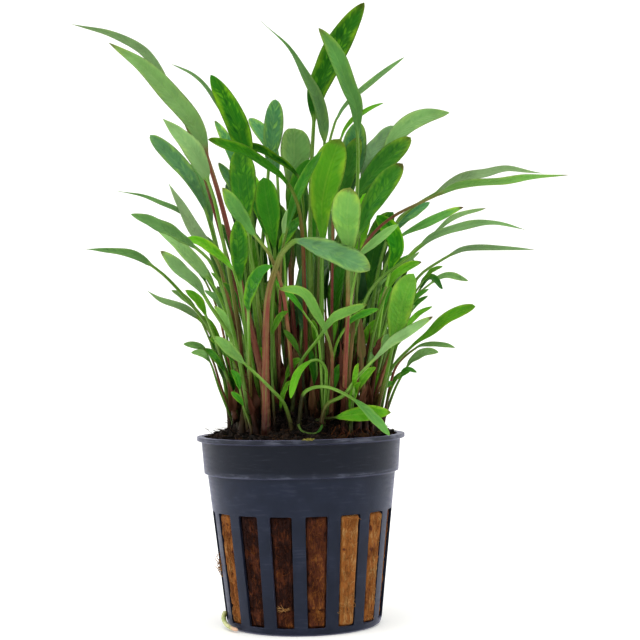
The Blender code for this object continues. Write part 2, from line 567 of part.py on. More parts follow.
def make_leaf(row, seen, depth):
    """A blade and its stalk in one closed solid, with four corners at every other station."""
    name, finish = row[0], row[1]
    roll = math.radians(row[5])
    leans_left = 1 if seen[-1, 0] < seen[0, 0] else -1
    wide, thick = widths(row)
    base_z = PEAT_TOP_Z + GAP
    line = [place(seen[k, 0], seen[k, 1], depth[k]) for k in range(STATIONS)]
    line[0].z = base_z
    points = []
    faces = []
    picked = list(range(0, STATIONS - 1, 2))
    for k in picked:
        along = (line[k + 1] - line[max(k - 1, 0)]).normalized()
        to_eye = Vector((0, -1, 0))
        facing = (to_eye - to_eye.dot(along) * along).normalized()
        upward = along.cross(facing) * leans_left
        normal = facing * math.cos(roll) + upward * math.sin(roll)
        side = along.cross(normal)
        half = wide[k] / 2
        lift = normal * half * (BLADE_FOLD if k > STALK_STEPS else 0)
        ring = [side * half + lift, normal * thick[k] / 2, -side * half + lift, -normal * thick[k] / 2]
        if k == 0:
            level = [Vector((half, 0, 0)), Vector((0, -half, 0)), Vector((-half, 0, 0)), Vector((0, half, 0))]
            turn = max(range(4), key=lambda s: sum(level[(i + s) % 4].dot(ring[i]) for i in range(4)))
            ring = [level[(i + turn) % 4] for i in range(4)]
        points += [line[k] + offset for offset in ring]
    points.append(line[-1])
    for ring in range(len(picked) - 1):
        for i in range(4):
            j = (i + 1) % 4
            low = 4 * ring
            faces.append([low + i, low + j, low + 4 + j])
            faces.append([low + i, low + 4 + j, low + 4 + i])
    last = 4 * (len(picked) - 1)
    faces += [[last + i, last + (i + 1) % 4, len(points) - 1] for i in range(4)]
    faces.append([3, 2, 1, 0])
    shade_round(mesh_object(name, finish, points, faces), 55)


def make_leaves():
    places = [stations(row) for row in LEAVES]
    seen = np.array([place_row[0] for place_row in places])
    depth = make_room(LEAVES, seen, np.array([place_row[1] for place_row in places]))
    for i, row in enumerate(LEAVES):
        make_leaf(row, seen[i], depth[i])


def main():
    clear_scene()
    make_pot()
    make_rock_wool()
    make_peat()
    make_root_tip()
    make_leaves()


main()
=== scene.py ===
import math
import random

import bmesh
import bpy
import numpy as np
from mathutils import Matrix, Quaternion, Vector, noise


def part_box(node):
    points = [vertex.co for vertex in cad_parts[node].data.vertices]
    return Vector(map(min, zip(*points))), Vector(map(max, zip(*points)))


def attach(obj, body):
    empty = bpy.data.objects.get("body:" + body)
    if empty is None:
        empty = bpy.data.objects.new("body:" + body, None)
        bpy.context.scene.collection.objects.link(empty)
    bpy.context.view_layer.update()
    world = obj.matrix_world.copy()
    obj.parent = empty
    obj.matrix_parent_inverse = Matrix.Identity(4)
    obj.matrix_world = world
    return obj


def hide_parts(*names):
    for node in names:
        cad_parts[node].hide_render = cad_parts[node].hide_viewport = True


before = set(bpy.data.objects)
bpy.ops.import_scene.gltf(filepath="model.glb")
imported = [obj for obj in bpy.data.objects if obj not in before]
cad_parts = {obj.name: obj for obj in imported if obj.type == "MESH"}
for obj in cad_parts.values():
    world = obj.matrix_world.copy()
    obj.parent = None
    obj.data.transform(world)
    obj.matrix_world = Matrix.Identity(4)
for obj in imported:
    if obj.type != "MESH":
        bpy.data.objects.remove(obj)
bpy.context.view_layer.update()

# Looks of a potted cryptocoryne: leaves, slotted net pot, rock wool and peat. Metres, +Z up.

mm = 0.001


def deselectAll():
    if bpy.context.object and bpy.context.object.mode != "OBJECT":
        bpy.ops.object.mode_set(mode="OBJECT")
    bpy.ops.object.select_all(action="DESELECT")


def pick(pieces):
    # selects these pieces and no others, the first of them active
    deselectAll()
    for piece in pieces:
        piece.select_set(True)
    bpy.context.view_layer.objects.active = pieces[0]


def selectEdges(mesh, wanted):
    # in edit mode, by a test on the places of an edge's two ends
    work = bmesh.from_edit_mesh(mesh)
    for edge in work.edges:
        edge.select_set(wanted(*(vertex.co for vertex in edge.verts)))
    bmesh.update_edit_mesh(mesh)


def addObject(name, data):
    piece = bpy.data.objects.new(name, data)
    bpy.context.scene.collection.objects.link(piece)
    return piece


def applyModifiers(piece):
    pick([piece])
    for modifier in list(piece.modifiers):
        bpy.ops.object.modifier_apply(modifier=modifier.name)


def faceOutwards(piece):
    pick([piece])
    bpy.ops.object.mode_set(mode="EDIT")
    bpy.ops.mesh.select_all(action="SELECT")
    bpy.ops.mesh.normals_make_consistent(inside=False)
    bpy.ops.object.mode_set(mode="OBJECT")


def ringedCylinder(around, cuts):
    # a closed cylinder, 1 high and 1 in radius, cut in rings all the way up so that it can be shaped
    deselectAll()
    bpy.ops.mesh.primitive_cylinder_add(vertices=around, radius=1, depth=1, location=(0, 0, 0),
                                        end_fill_type="TRIFAN")
    cylinder = bpy.context.object
    cylinder.data.transform(Matrix.Translation((0, 0, 0.5)))
    bpy.ops.object.mode_set(mode="EDIT")
    selectEdges(cylinder.data, lambda a, b: abs(a.z - b.z) > 0.5)
    bpy.ops.mesh.subdivide(number_cuts=cuts)
    bpy.ops.object.mode_set(mode="OBJECT")
    cylinder.data.shade_smooth()
    return cylinder


def setAttribute(mesh, name, values, kind="FLOAT"):
    attribute = mesh.attributes.new(name, kind, "POINT")
    field = "vector" if kind == "FLOAT_VECTOR" else "value"
    attribute.data.foreach_set(field, np.asarray(values, np.float32).ravel())


def finishPiece(piece, name, nodes, material):
    piece.name = name
    piece.data.name = name
    piece.data.materials.clear()
    piece.data.materials.append(material)
    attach(piece, "root")
    if nodes:
        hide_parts(*nodes)


def aroundAxis(radius, degrees, z):
    # a point by its distance from the axis, its angle from the front to the right, and its height
    turn = math.radians(degrees)
    return Vector((radius * math.sin(turn), -radius * math.cos(turn), z))


def toLinear(value):
    return value / 12.92 if value <= 0.04045 else ((value + 0.055) / 1.055) ** 2.4


def colour(hexText):
    # sRGB hex to the linear colour that Blender works in
    return (*(toLinear(int(hexText[i:i + 2], 16) / 255) for i in (0, 2, 4)), 1.0)


# Settings that many nodes share: a range that eases in and out, a mix of two colours, a product
eased = {"interpolation_type": "SMOOTHSTEP"}
mixed = {"data_type": "RGBA"}
times = {"operation": "MULTIPLY"}


def addNode(tree, kind, inputs, output=0, **settings):
    # an input is a number, a colour or another node's output; gives back one of the node's outputs
    node = tree.nodes.new("ShaderNode" + kind)
    for name, value in settings.items():
        setattr(node, name, value)
    for socket, value in inputs.items():
        if isinstance(value, bpy.types.NodeSocket):
            tree.links.new(value, node.inputs[socket])
        else:
            node.inputs[socket].default_value = value
    return node.outputs[output]


def addUp(tree, parts):
    # the sum of numbers and node outputs, each times its own weight
    total = 0
    for source, weight in parts:
        weighed = addNode(tree, "Math", {0: source, 1: weight}, **times)
        total = addNode(tree, "Math", {0: weighed, 1: total}, operation="ADD")
    return total


def paintOver(tree, base, layers):
    # lays colours over a colour. A layer is a source, its values where the layer starts and is full, how
    # strong it is then, its colour, and any masks that weaken it
    for source, start, full, strength, paint, *masks in layers:
        share = addNode(tree, "MapRange", {0: source, 1: start, 2: full, 4: strength}, **eased)
        for mask in masks:
            share = addNode(tree, "Math", {0: share, 1: mask}, **times)
        base = addNode(tree, "Mix", {0: share, 6: base, 7: paint}, 2, **mixed)
    return base


def newMaterial(name, values):
    material = bpy.data.materials.new(name)
    material.use_nodes = True
    shader = material.node_tree.nodes["Principled BSDF"]
    for socket, value in values.items():
        shader.inputs[socket].default_value = value
    return material, material.node_tree, shader


def connect(tree, shader, sources):
    for socket, source in sources.items():
        tree.links.new(source, shader.inputs[socket])


# Camera, at the height of the leaves and 425 mm from the pot's axis; film and lens are in mm
viewpoint = {"distance": 0.425, "eyeX": 0.0052, "eyeZ": 0.074, "aimX": 0.0057, "aimZ": 0.0802,
             "lean": 0.02, "lens": 90, "film": 36, "nearest": 0.01}


def makeCamera():
    v = viewpoint
    data = bpy.data.cameras.new("camera")
    data.lens = v["lens"]
    data.sensor_width = v["film"]
    data.clip_start = v["nearest"]
    camera = addObject("camera", data)
    camera.location = (v["eyeX"], -v["distance"], v["eyeZ"])
    aim = Vector((v["aimX"], 0, v["aimZ"])) - camera.location
    turn = aim.to_track_quat("-Z", "Y") @ Quaternion((0, 0, 1), -v["lean"])
    camera.rotation_euler = turn.to_euler()
    bpy.context.scene.camera = camera


# Soft white studio: two large side boxes, one overhead, a weak one at the front. Place, size and power
studio = {
    "boxes": {"leftBox": ((-0.75, -0.2, 0.32), (0.4, 0.9), 1.25),
              "rightBox": ((0.75, 0.0, 0.3), (0.4, 0.9), 0.7),
              "topBox": ((0.0, -0.2, 0.9), (0.7, 0.5), 1.7),
              "frontBox": ((0.15, -1.1, 0.5), (0.8, 0.5), 0.15)},
    "aimHeight": 0.08, "worldColour": "f4f6f8", "worldStrength": 0.24,
    "paper": "f7f7f6", "paperGlow": 0.19, "paperDepth": 1.4, "paperWidth": 5.0, "paperHeight": 2.4,
    "paperBend": 0.5, "bendSegments": 12,
}


def makeStudio():
    s = studio
    for name, (place, size, power) in s["boxes"].items():
        light = bpy.data.lights.new(name, "AREA")
        light.shape = "RECTANGLE"
        light.size, light.size_y = size
        light.energy = power
        lamp = addObject(name, light)
        lamp.location = place
        aim = Vector((0, 0, s["aimHeight"])) - lamp.location
        lamp.rotation_euler = aim.to_track_quat("-Z", "Y").to_euler()
    world = bpy.data.worlds.new("studio")
    bpy.context.scene.world = world
    world.use_nodes = True
    background = world.node_tree.nodes["Background"]
    background.inputs["Color"].default_value = colour(s["worldColour"])
    background.inputs["Strength"].default_value = s["worldStrength"]
    bpy.context.scene.view_settings.view_transform = "Standard"
    bpy.context.scene.view_settings.look = "Medium High Contrast"
    # Seamless white paper: a floor that bends up into a wall behind
    deselectAll()
    bpy.ops.mesh.primitive_plane_add(size=1, location=(0, 0, 0))
    paper = bpy.context.object
    paper.name = "paper"
    depth = s["paperDepth"]
    paper.data.transform(Matrix.Diagonal((s["paperWidth"], 2 * depth, 1, 1)))
    bpy.ops.object.mode_set(mode="EDIT")
    selectEdges(paper.data, lambda a, b: min(a.y, b.y) > depth * 0.99)
    bpy.ops.mesh.extrude_region_move(TRANSFORM_OT_translate={"value": (0, 0, s["paperHeight"])})
    bpy.ops.object.mode_set(mode="OBJECT")
    bend = paper.modifiers.new("bend", "BEVEL")
    bend.width = s["paperBend"]
    bend.segments = s["bendSegments"]
    applyModifiers(paper)
    paper.data.shade_smooth()
    # White background of a light tent: matt, even and lit from behind
    white = colour(s["paper"])
    material = newMaterial("backlitPaper", {"Base Color": white, "Roughness": 0.9, "Emission Color": white,
                                            "Emission Strength": s["paperGlow"]})[0]
    material.cycles.emission_sampling = "NONE"
    paper.data.materials.append(material)


# Net pot in mm, as the pot of the frame. The profile is radius and height, from the underside up the
# outside, over the lip and down the inside. Colours are sRGB
netPot = {
    "sides": 192, "wall": 0.8, "footRadius": 20.5, "footZ": 1.6, "stepRadius": 24.8, "bandLowZ": 40.4,
    "lipRadius": 27.5,
    "profile": ((19.3, 0), (20.1, 0.5), (20.5, 1.6), (24.8, 40.0), (25.7, 40.4), (26.3, 48.6), (27.5, 49.0),
                (27.5, 50.0), (25.5, 50.0), (24.9, 40.7), (24.0, 40.2), (19.7, 1.9), (19.0, 1.0)),
    "slotCount": 16, "slotFirst": 9.5, "slotLow": 2.0, "slotTop": 30.5, "slotLowWidth": 4.6,
    "slotTopWidth": 5.8, "slotCorner": 0.45, "slotReach": 4.0,
    "drainCount": 8, "drainLow": -1, "drainTop": 2, "drainInner": 8.0, "drainOuter": 15.5,
    "drainWidth": 2.4,
    "edge": 0.13, "edgeAngle": 38, "sharpAngle": 50,
    "plastic": "262d40", "shadedBandPlastic": "151a26", "sheen": "c2c4f2", "scuff": "8f93a6",
}


def potWallRadius(z):
    share = (z - netPot["footZ"]) / (netPot["bandLowZ"] - netPot["footZ"])
    return netPot["footRadius"] + (netPot["stepRadius"] - netPot["footRadius"]) * share


def polypropyleneMaterial():
    # Injection-moulded recycled polypropylene: slate black, satin, hazed by fine scratches round the wall,
    # with pale scuffs where pots rub together, at the lip and the step of the band. The wall is a lighter,
    # clouded slate, and the band under the lip keeps the dark base as painted shade
    dark, plastic, scuff, sheen = (
        colour(netPot[name]) for name in ("shadedBandPlastic", "plastic", "scuff", "sheen"))
    material, tree, shader = newMaterial("mouldedPolypropylene", {
        "IOR": 1.49, "Specular IOR Level": 0.22, "Sheen Weight": 0.38, "Sheen Roughness": 0.35,
        "Sheen Tint": sheen})
    place = addNode(tree, "TexCoord", {}, "Object")
    height = addNode(tree, "SeparateXYZ", {0: place}, 2)
    # clouds 6 mm wide, scratches 0.7 mm apart that run round the wall, and a moulded grain of 0.4 mm
    cloud = addNode(tree, "TexNoise", {"Vector": place, "Scale": 0.17 / mm, "Detail": 4})
    level = addNode(tree, "Mapping", {"Vector": place, "Scale": (0.13, 0.13, 1)})
    scratch = addNode(tree, "TexNoise", {"Vector": level, "Scale": 1.5 / mm, "Detail": 4, "Roughness": 0.6})
    fine = addNode(tree, "TexNoise", {"Vector": place, "Scale": 2.4 / mm, "Detail": 2})
    uneven = addNode(tree, "MapRange", {0: cloud, 1: 0.3, 2: 0.7, 3: 0.6}, **eased)
    clouded = addNode(tree, "MapRange", {0: cloud, 1: 0.4, 2: 0.66}, **eased)
    # painted shade: the lighter, clouded slate fades out between 38.5 and 42.5 mm, so the band under the lip
    # keeps the dark base
    base = paintOver(tree, dark, ((height, 42.5 * mm, 38.5 * mm, 0.75, plastic, uneven),
                                  (scratch, 0.48, 0.72, 1, scuff, clouded, 0.06)))
    # scuffs, at the lip from 48.5 mm up and on the step between 39.8 and 41.6 mm
    lipMark = addNode(tree, "MapRange", {0: height, 1: 48.5 * mm, 2: 49.4 * mm}, **eased)
    overStep = addNode(tree, "MapRange", {0: height, 1: 39.8 * mm, 2: 40.4 * mm}, **eased)
    underBand = addNode(tree, "MapRange", {0: height, 1: 41.6 * mm, 2: 40.7 * mm}, **eased)
    stepMark = addNode(tree, "Math", {0: overStep, 1: underBand}, **times)
    marks = addNode(tree, "Math", {0: lipMark, 1: stepMark}, operation="MAXIMUM")
    worn = addUp(tree, ((scratch, 0.5), (cloud, 0.5)))
    worn = addNode(tree, "MapRange", {0: worn, 1: 0.46, 2: 0.64, 3: 0.05, 4: 0.32}, **eased)
    marks = addNode(tree, "Math", {0: marks, 1: worn}, **times)
    grain = addUp(tree, ((scratch, 0.8), (fine, 1)))
    connect(tree, shader, {
        "Base Color": addNode(tree, "Mix", {0: marks, 6: base, 7: scuff}, 2, **mixed),
        "Roughness": addNode(tree, "MapRange", {0: scratch, 1: 0.3, 2: 0.75, 3: 0.32, 4: 0.46}, **eased),
        "Normal": addNode(tree, "Bump", {"Height": grain, "Strength": 0.3, "Distance": 0.06 * mm})})
    return material


def makePotBody():
    # A disc is the underside; its copy is raised ring by ring up the outside, over the lip and down
    profile = netPot["profile"]
    deselectAll()
    bpy.ops.mesh.primitive_circle_add(vertices=netPot["sides"], radius=profile[0][0] * mm, fill_type="NGON")
    pot = bpy.context.object
    bpy.ops.object.mode_set(mode="EDIT")
    bpy.ops.mesh.select_all(action="SELECT")
    for (radius, z), (nextRadius, nextZ) in zip(profile, profile[1:]):
        bpy.ops.mesh.extrude_region_move(TRANSFORM_OT_translate={"value": (0, 0, (nextZ - z) * mm)})
        ratio = nextRadius / radius
        bpy.ops.transform.resize(value=(ratio, ratio, 1), center_override=(0, 0, 0))
    faceOutwards(pot)
    return pot


def slotCutter(count, low, high, middleLow, middleHigh, reach, widthLow, widthHigh, corner):
    # one tapered block, as wide and as far out as the slot is at its low and high end, modelled from a
    # cube, then copied round the axis and joined
    deselectAll()
    bpy.ops.mesh.primitive_cube_add(size=1)
    block = bpy.context.object
    for vertex in block.data.vertices:
        top = vertex.co.z > 0
        middle = middleHigh if top else middleLow
        wide = widthHigh if top else widthLow
        vertex.co = Vector((vertex.co.x * wide, -middle + vertex.co.y * reach, high if top else low)) * mm
    if corner:
        bpy.ops.object.mode_set(mode="EDIT")
        selectEdges(block.data, lambda a, b: abs(a.y - b.y) > reach * mm * 0.9)
        bpy.ops.mesh.bevel(offset=corner * mm, segments=3)
        bpy.ops.object.mode_set(mode="OBJECT")
    copies = []
    for i in range(count):
        form = block.data.copy()
        form.transform(Matrix.Rotation(math.radians(netPot["slotFirst"] + 360 / count * i), 4, "Z"))
        copies.append(addObject("slot", form))
    bpy.data.objects.remove(block)
    pick(copies)
    bpy.ops.object.join()
    return bpy.context.object


def makeNetPot():
    p = netPot
    pot = makePotBody()
    lowMiddle, topMiddle = (potWallRadius(p[end]) - p["wall"] / 2 for end in ("slotLow", "slotTop"))
    drainMiddle = (p["drainInner"] + p["drainOuter"]) / 2
    slots = slotCutter(p["slotCount"], p["slotLow"], p["slotTop"], lowMiddle, topMiddle, p["slotReach"],
                       p["slotLowWidth"], p["slotTopWidth"], p["slotCorner"])
    drains = slotCutter(p["drainCount"], p["drainLow"], p["drainTop"], drainMiddle, drainMiddle,
                        p["drainOuter"] - p["drainInner"], p["drainWidth"], p["drainWidth"], 0)
    for cutter in (slots, drains):
        cut = pot.modifiers.new("cut", "BOOLEAN")
        cut.operation = "DIFFERENCE"
        cut.object = cutter
    applyModifiers(pot)
    for cutter in (slots, drains):
        bpy.data.objects.remove(cutter)
    edge = pot.modifiers.new("edge", "BEVEL")
    edge.width = p["edge"] * mm
    edge.segments = 2
    edge.limit_method = "ANGLE"
    edge.angle_limit = math.radians(p["edgeAngle"])
    normals = pot.modifiers.new("normals", "WEIGHTED_NORMAL")
    normals.keep_sharp = True
    pot.data.shade_smooth()
    pot.data.set_sharp_from_angle(angle=math.radians(p["sharpAngle"]))
    applyModifiers(pot)
    finishPiece(pot, "netPot", ["pot"], polypropyleneMaterial())
    print("net pot", len(pot.data.polygons), "faces")


# Rock wool plug, in mm. Each slot, by its angle from the front, has its own brown, from 0 dark to 1 tan,
# and its own bulge. The crease runs round the front, between two angles
rockWool = {
    "around": 512, "up": 110, "lowZ": 1.35, "topZ": 46.8, "proud": 0.3, "sunk": 0.28, "bandRadius": 24.4,
    "meanRadius": 22,
    "slots": {-80.5: (0.2, -0.2), -58: (0.72, 1.0), -35.5: (0.15, 0.55), -13: (0.15, 0.6),
              9.5: (0.42, 0.85), 32: (0.98, 1.4), 54.5: (0.84, 1.25), 77: (0.6, 0.4),
              99.5: (0.6, 0.5), 122: (0.3, 0.4), 144.5: (0.7, 0.7), 167: (0.4, 0.4),
              -170.5: (0.55, 0.6), -148: (0.25, 0.3), -125.5: (0.75, 0.7), -103: (0.5, 0.4)},
    "creaseZ": 6.6, "creaseWidth": 0.35, "creaseDepth": 0.45, "creaseFrom": -100, "creaseTo": 20,
    "dark": "2a140f", "middle": "5a311e", "gold": "96602f", "pale": "c29a66",
    "fibres": 2600, "fibreRadius": 0.06, "fibreLength": (0.8, 2.8), "fibreLift": 0.16, "fibreSpread": 4.6,
}


def slotAt(degrees):
    # tone and bulge of the slot nearest to this angle, and how far from its middle the angle is
    best = min(rockWool["slots"], key=lambda a: abs((degrees - a + 180) % 360 - 180))
    return *rockWool["slots"][best], (degrees - best + 180) % 360 - 180


def woolRadius(degrees, z):
    w, p = rockWool, netPot
    inner = potWallRadius(z) - p["wall"] if z < p["bandLowZ"] - 0.5 else w["bandRadius"]
    _, bulge, off = slotAt(degrees)
    rise = (z - p["slotLow"]) / (p["slotTop"] - p["slotLow"])
    slotWidth = p["slotLowWidth"] + (p["slotTopWidth"] - p["slotLowWidth"]) * rise
    halfSlot = math.degrees((slotWidth / 2 - 0.05) / (inner + p["wall"]))
    ends = min(1.0, (z - p["slotLow"]) / 0.5, (p["slotTop"] - z) / 0.5)
    inSlot = max(0.0, 1 - (abs(off) / halfSlot) ** 10) * max(0.0, ends)
    rough = noise.fractal(aroundAxis(inner, degrees, z) * 0.45, 0.9, 2.0, 4)
    creased = w["creaseDepth"] if w["creaseFrom"] < degrees < w["creaseTo"] else 0
    crease = math.exp(-((z - w["creaseZ"]) / w["creaseWidth"]) ** 2) * creased
    shift = inSlot * bulge + 0.22 * rough - crease - w["sunk"]
    return inner + min(shift, (p["wall"] + w["proud"]) * inSlot - 0.08)


def woolTone(degrees, z):
    # patches of 5 mm, a little lighter under the crease, and dark wool darker still towards the top
    tone, _, _ = slotAt(degrees)
    place = aroundAxis(rockWool["meanRadius"], degrees, z) * 0.22 + Vector((7, 3, 1))
    patch = noise.fractal(place, 1.0, 2.0, 5)
    lower = 0.08 * (1 - tone) if z < rockWool["creaseZ"] and degrees < rockWool["creaseTo"] else 0
    upper = 0.004 * (z - 16) if tone < 0.5 else 0
    return min(1, max(0, tone + lower + 0.3 * patch - upper))


def woolMaterial(name, lift):
    # Mineral wool that has held water for months: matted fibre, golden where fresh, dark where wet
    material, tree, shader = newMaterial(name, {"Roughness": 0.85, "IOR": 1.4, "Specular IOR Level": 0.3})
    tone = addNode(tree, "Attribute", {}, "Fac", attribute_name="woolTone")
    place = addNode(tree, "TexCoord", {}, "Object")
    # matted clumps of 1.5 mm, upright threads of 0.5 mm, drawn coarser than real, and specks 2 mm apart
    fine = addNode(tree, "TexNoise", {"Vector": place, "Scale": 1.5 / mm, "Detail": 5, "Roughness": 0.7})
    upright = addNode(tree, "Mapping", {"Vector": place, "Scale": (1, 1, 0.14)})
    threads = addNode(tree, "TexNoise", {"Vector": upright, "Scale": 2.1 / mm, "Detail": 4,
                                         "Distortion": 0.6})
    flat = addNode(tree, "Mapping", {"Vector": place, "Scale": (1, 1, 0.4)})
    matted = addNode(tree, "TexNoise", {"Vector": flat, "Scale": 0.65 / mm, "Detail": 6, "Roughness": 0.65,
                                        "Distortion": 1.2})
    specks = addNode(tree, "TexNoise", {"Vector": place, "Scale": 0.48 / mm, "Detail": 2})
    speck = addNode(tree, "MapRange", {0: specks, 1: 0.64, 2: 0.74, 4: 0.45}, **eased)
    shade = addUp(tree, ((matted, 1.1), (tone, 1), (fine, 0.7), (threads, 0.7), (speck, -1),
                         (lift - 1.25, 1)))
    dark, middle, gold, pale = (colour(rockWool[name]) for name in ("dark", "middle", "gold", "pale"))
    relief = addUp(tree, ((threads, 0.7), (matted, 1)))
    connect(tree, shader, {
        "Base Color": paintOver(tree, dark, (
            (shade, 0.05, 0.42, 1, middle), (shade, 0.42, 0.85, 1, gold), (shade, 0.9, 1.35, 1, pale))),
        "Normal": addNode(tree, "Bump", {"Height": relief, "Strength": 1.0, "Distance": 0.6 * mm})})
    return material


def makeRockWool():
    w = rockWool
    plug = ringedCylinder(w["around"], w["up"])
    tones = []
    for vertex in plug.data.vertices:
        x, y, share = vertex.co
        z = w["lowZ"] + (w["topZ"] - w["lowZ"]) * share
        degrees = math.degrees(math.atan2(x, -y))
        if math.hypot(x, y) < 0.5:
            vertex.co = Vector((0, 0, z)) * mm
        else:
            rounded = 0.8 * math.exp(-(z - w["lowZ"]) / 0.5)
            vertex.co = aroundAxis(woolRadius(degrees, z) - rounded, degrees, z) * mm
        tones.append(woolTone(degrees, z))
    setAttribute(plug.data, "woolTone", tones)
    finishPiece(plug, "rockWoolPlug", ["rock_wool"], woolMaterial("mineralWool", 0.0))
    print("rock wool plug", len(plug.data.polygons), "faces")


def tubes(name, strands, sides):
    # joins many thin tubes in one mesh. A strand is a list of points in mm, a radius for each and a tone
    points, faces, tones = [], [], []
    for line, radii, tone in strands:
        first = len(points)
        side = None
        for k, centre in enumerate(line):
            along = (line[min(k + 1, len(line) - 1)] - line[max(k - 1, 0)]).normalized()
            helper = side or (Vector((0, 0, 1)) if abs(along.z) < 0.8 else Vector((1, 0, 0)))
            side = (helper - helper.dot(along) * along).normalized()
            other = along.cross(side)
            for i in range(sides):
                turn = 2 * math.pi * i / sides
                points.append((centre + radii[k] * (math.cos(turn) * side + math.sin(turn) * other)) * mm)
        tones += [tone] * (sides * len(line))
        for k in range(len(line) - 1):
            a = first + k * sides
            faces += [(a + i, a + (i + 1) % sides, a + sides + (i + 1) % sides, a + sides + i)
                      for i in range(sides)]
        last = first + (len(line) - 1) * sides
        faces += [tuple(first + sides - 1 - i for i in range(sides)), tuple(last + i for i in range(sides))]
    mesh = bpy.data.meshes.new(name)
    mesh.from_pydata(points, [], faces)
    setAttribute(mesh, "woolTone", tones)
    mesh.shade_smooth()
    return addObject(name, mesh)


def makeWoolFibres():
    # loose fibres on the wool where the slots show it, drawn coarser than real ones so that they show
    w, low, top = rockWool, netPot["slotLow"], netPot["slotTop"]
    dice = random.Random(4)
    strands = []
    for _ in range(w["fibres"]):
        angle = dice.choice(list(w["slots"])) + dice.uniform(-w["fibreSpread"], w["fibreSpread"])
        z = dice.uniform(low + 0.6, top - 0.6)
        heading = dice.choice((dice.uniform(0, math.pi), dice.gauss(math.pi / 2, 0.35)))
        length = dice.uniform(*w["fibreLength"])
        lift = w["fibreLift"] * dice.random()
        bend = dice.uniform(-0.9, 0.9)
        line = []
        for part in (-0.5, -0.25, 0, 0.25, 0.5):
            turn = heading + bend * part
            degrees = angle + math.degrees(part * length * math.cos(turn) / w["meanRadius"])
            height = min(max(z + part * length * math.sin(turn), low + 0.2), top - 0.2)
            radius = woolRadius(degrees, height) + 0.03 + lift * (1 - (2 * part) ** 2)
            line.append(aroundAxis(radius, degrees, height))
        tone = woolTone(angle, z) + dice.uniform(-0.15, 0.3)
        size = w["fibreRadius"] * dice.uniform(0.6, 1.3)
        strands.append((line, [size * share for share in (0.5, 1, 1, 1, 0.4)], tone))
    fibres = tubes("woolFibres", strands, 3)
    finishPiece(fibres, "woolFibres", [], woolMaterial("looseMineralFibre", 0.12))
    print("wool fibres", len(strands))


# Dark top of wet peat, in mm. Crumbs are strewn all over it, and lie in piles between the stalks: the first
# piles have a place and a height of their own. Crumbs in the piles are painted darker, as shade between the
# stalks
peatTop = {
    "radius": 25.0, "crustDepth": 2.8, "crustMiddle": 48.4, "topZ": 50.0, "rings": 40, "around": 160,
    "mound": 2.2, "moundReach": 22, "edgeFrom": 22.5, "edgeDrop": 0.9, "lump": 0.55,
    "crumbs": 2400, "strewn": 25.2, "smallFrom": 24.2,
    "piles": 26, "pileCrumbs": 90, "pileHeight": 5.0, "pileReach": 3.6, "pilesWithin": 18, "pileRing": 19.5,
    "pileLimit": 23.5,
    "heaps": ((-6.5, -12.5, 8), (-4, -11, 9), (-1.5, -12, 8), (-9, -10, 6), (1, -12.5, 5), (-14, -9, 5)),
    "dark": "0b0705", "brown": "26180f", "light": "50371f",
}


def peatMaterial():
    # Wet decayed peat and old wool: nearly black, crumbly, with a few brown flecks and a damp sheen
    material, tree, shader = newMaterial("wetPeat", {
        "Roughness": 0.7, "IOR": 1.4, "Specular IOR Level": 0.35})
    dark, brown, light = (colour(peatTop[name]) for name in ("dark", "brown", "light"))
    tone = addNode(tree, "Attribute", {}, "Fac", attribute_name="woolTone")
    place = addNode(tree, "TexCoord", {}, "Object")
    # grains of 0.8 mm
    grain = addNode(tree, "TexNoise", {"Vector": place, "Scale": 1.3 / mm, "Detail": 6, "Roughness": 0.7})
    shade = addUp(tree, ((grain, 0.8), (tone, 1)))
    connect(tree, shader, {
        "Base Color": paintOver(tree, dark, ((shade, 0.35, 0.95, 1, brown), (shade, 1.0, 1.5, 1, light))),
        "Normal": addNode(tree, "Bump", {"Height": grain, "Strength": 0.9, "Distance": 0.5 * mm})})
    return material


def peatHeight(x, y):
    p = peatTop
    radius = math.hypot(x, y)
    lump = noise.fractal(Vector((x, y, 5)) * 0.35, 0.9, 2.0, 5)
    edge = p["edgeDrop"] * max(0, radius - p["edgeFrom"]) / (p["radius"] - p["edgeFrom"])
    mound = p["mound"] * max(0, 1 - (radius / p["moundReach"]) ** 2)
    return p["topZ"] + p["lump"] * lump - edge + mound


def makePeat():
    p = peatTop
    deselectAll()
    bpy.ops.mesh.primitive_cylinder_add(vertices=p["around"], radius=p["radius"] * mm,
                                        depth=p["crustDepth"] * mm, location=(0, 0, 0), end_fill_type="NGON")
    peat = bpy.context.object
    peat.data.transform(Matrix.Translation((0, 0, p["crustMiddle"] * mm)))
    bpy.ops.object.mode_set(mode="EDIT")
    work = bmesh.from_edit_mesh(peat.data)
    for face in work.faces:
        face.select_set(face.normal.z > 0.9)
    bmesh.update_edit_mesh(peat.data)
    for _ in range(p["rings"] - 1):
        bpy.ops.mesh.inset(thickness=p["radius"] / p["rings"] * mm, depth=0, use_boundary=True)
    bpy.ops.object.mode_set(mode="OBJECT")
    tones = []
    for vertex in peat.data.vertices:
        x, y, z = vertex.co / mm
        if z > p["crustMiddle"]:
            vertex.co.z = peatHeight(x, y) * mm
        tones.append(0.15 + 0.4 * noise.noise(Vector((x, y, 2)) * 0.3))
    setAttribute(peat.data, "woolTone", tones)
    peat.data.shade_smooth()
    finishPiece(peat, "peatCrust", ["peat_top"], peatMaterial())
    print("peat crust", len(peat.data.polygons), "faces")


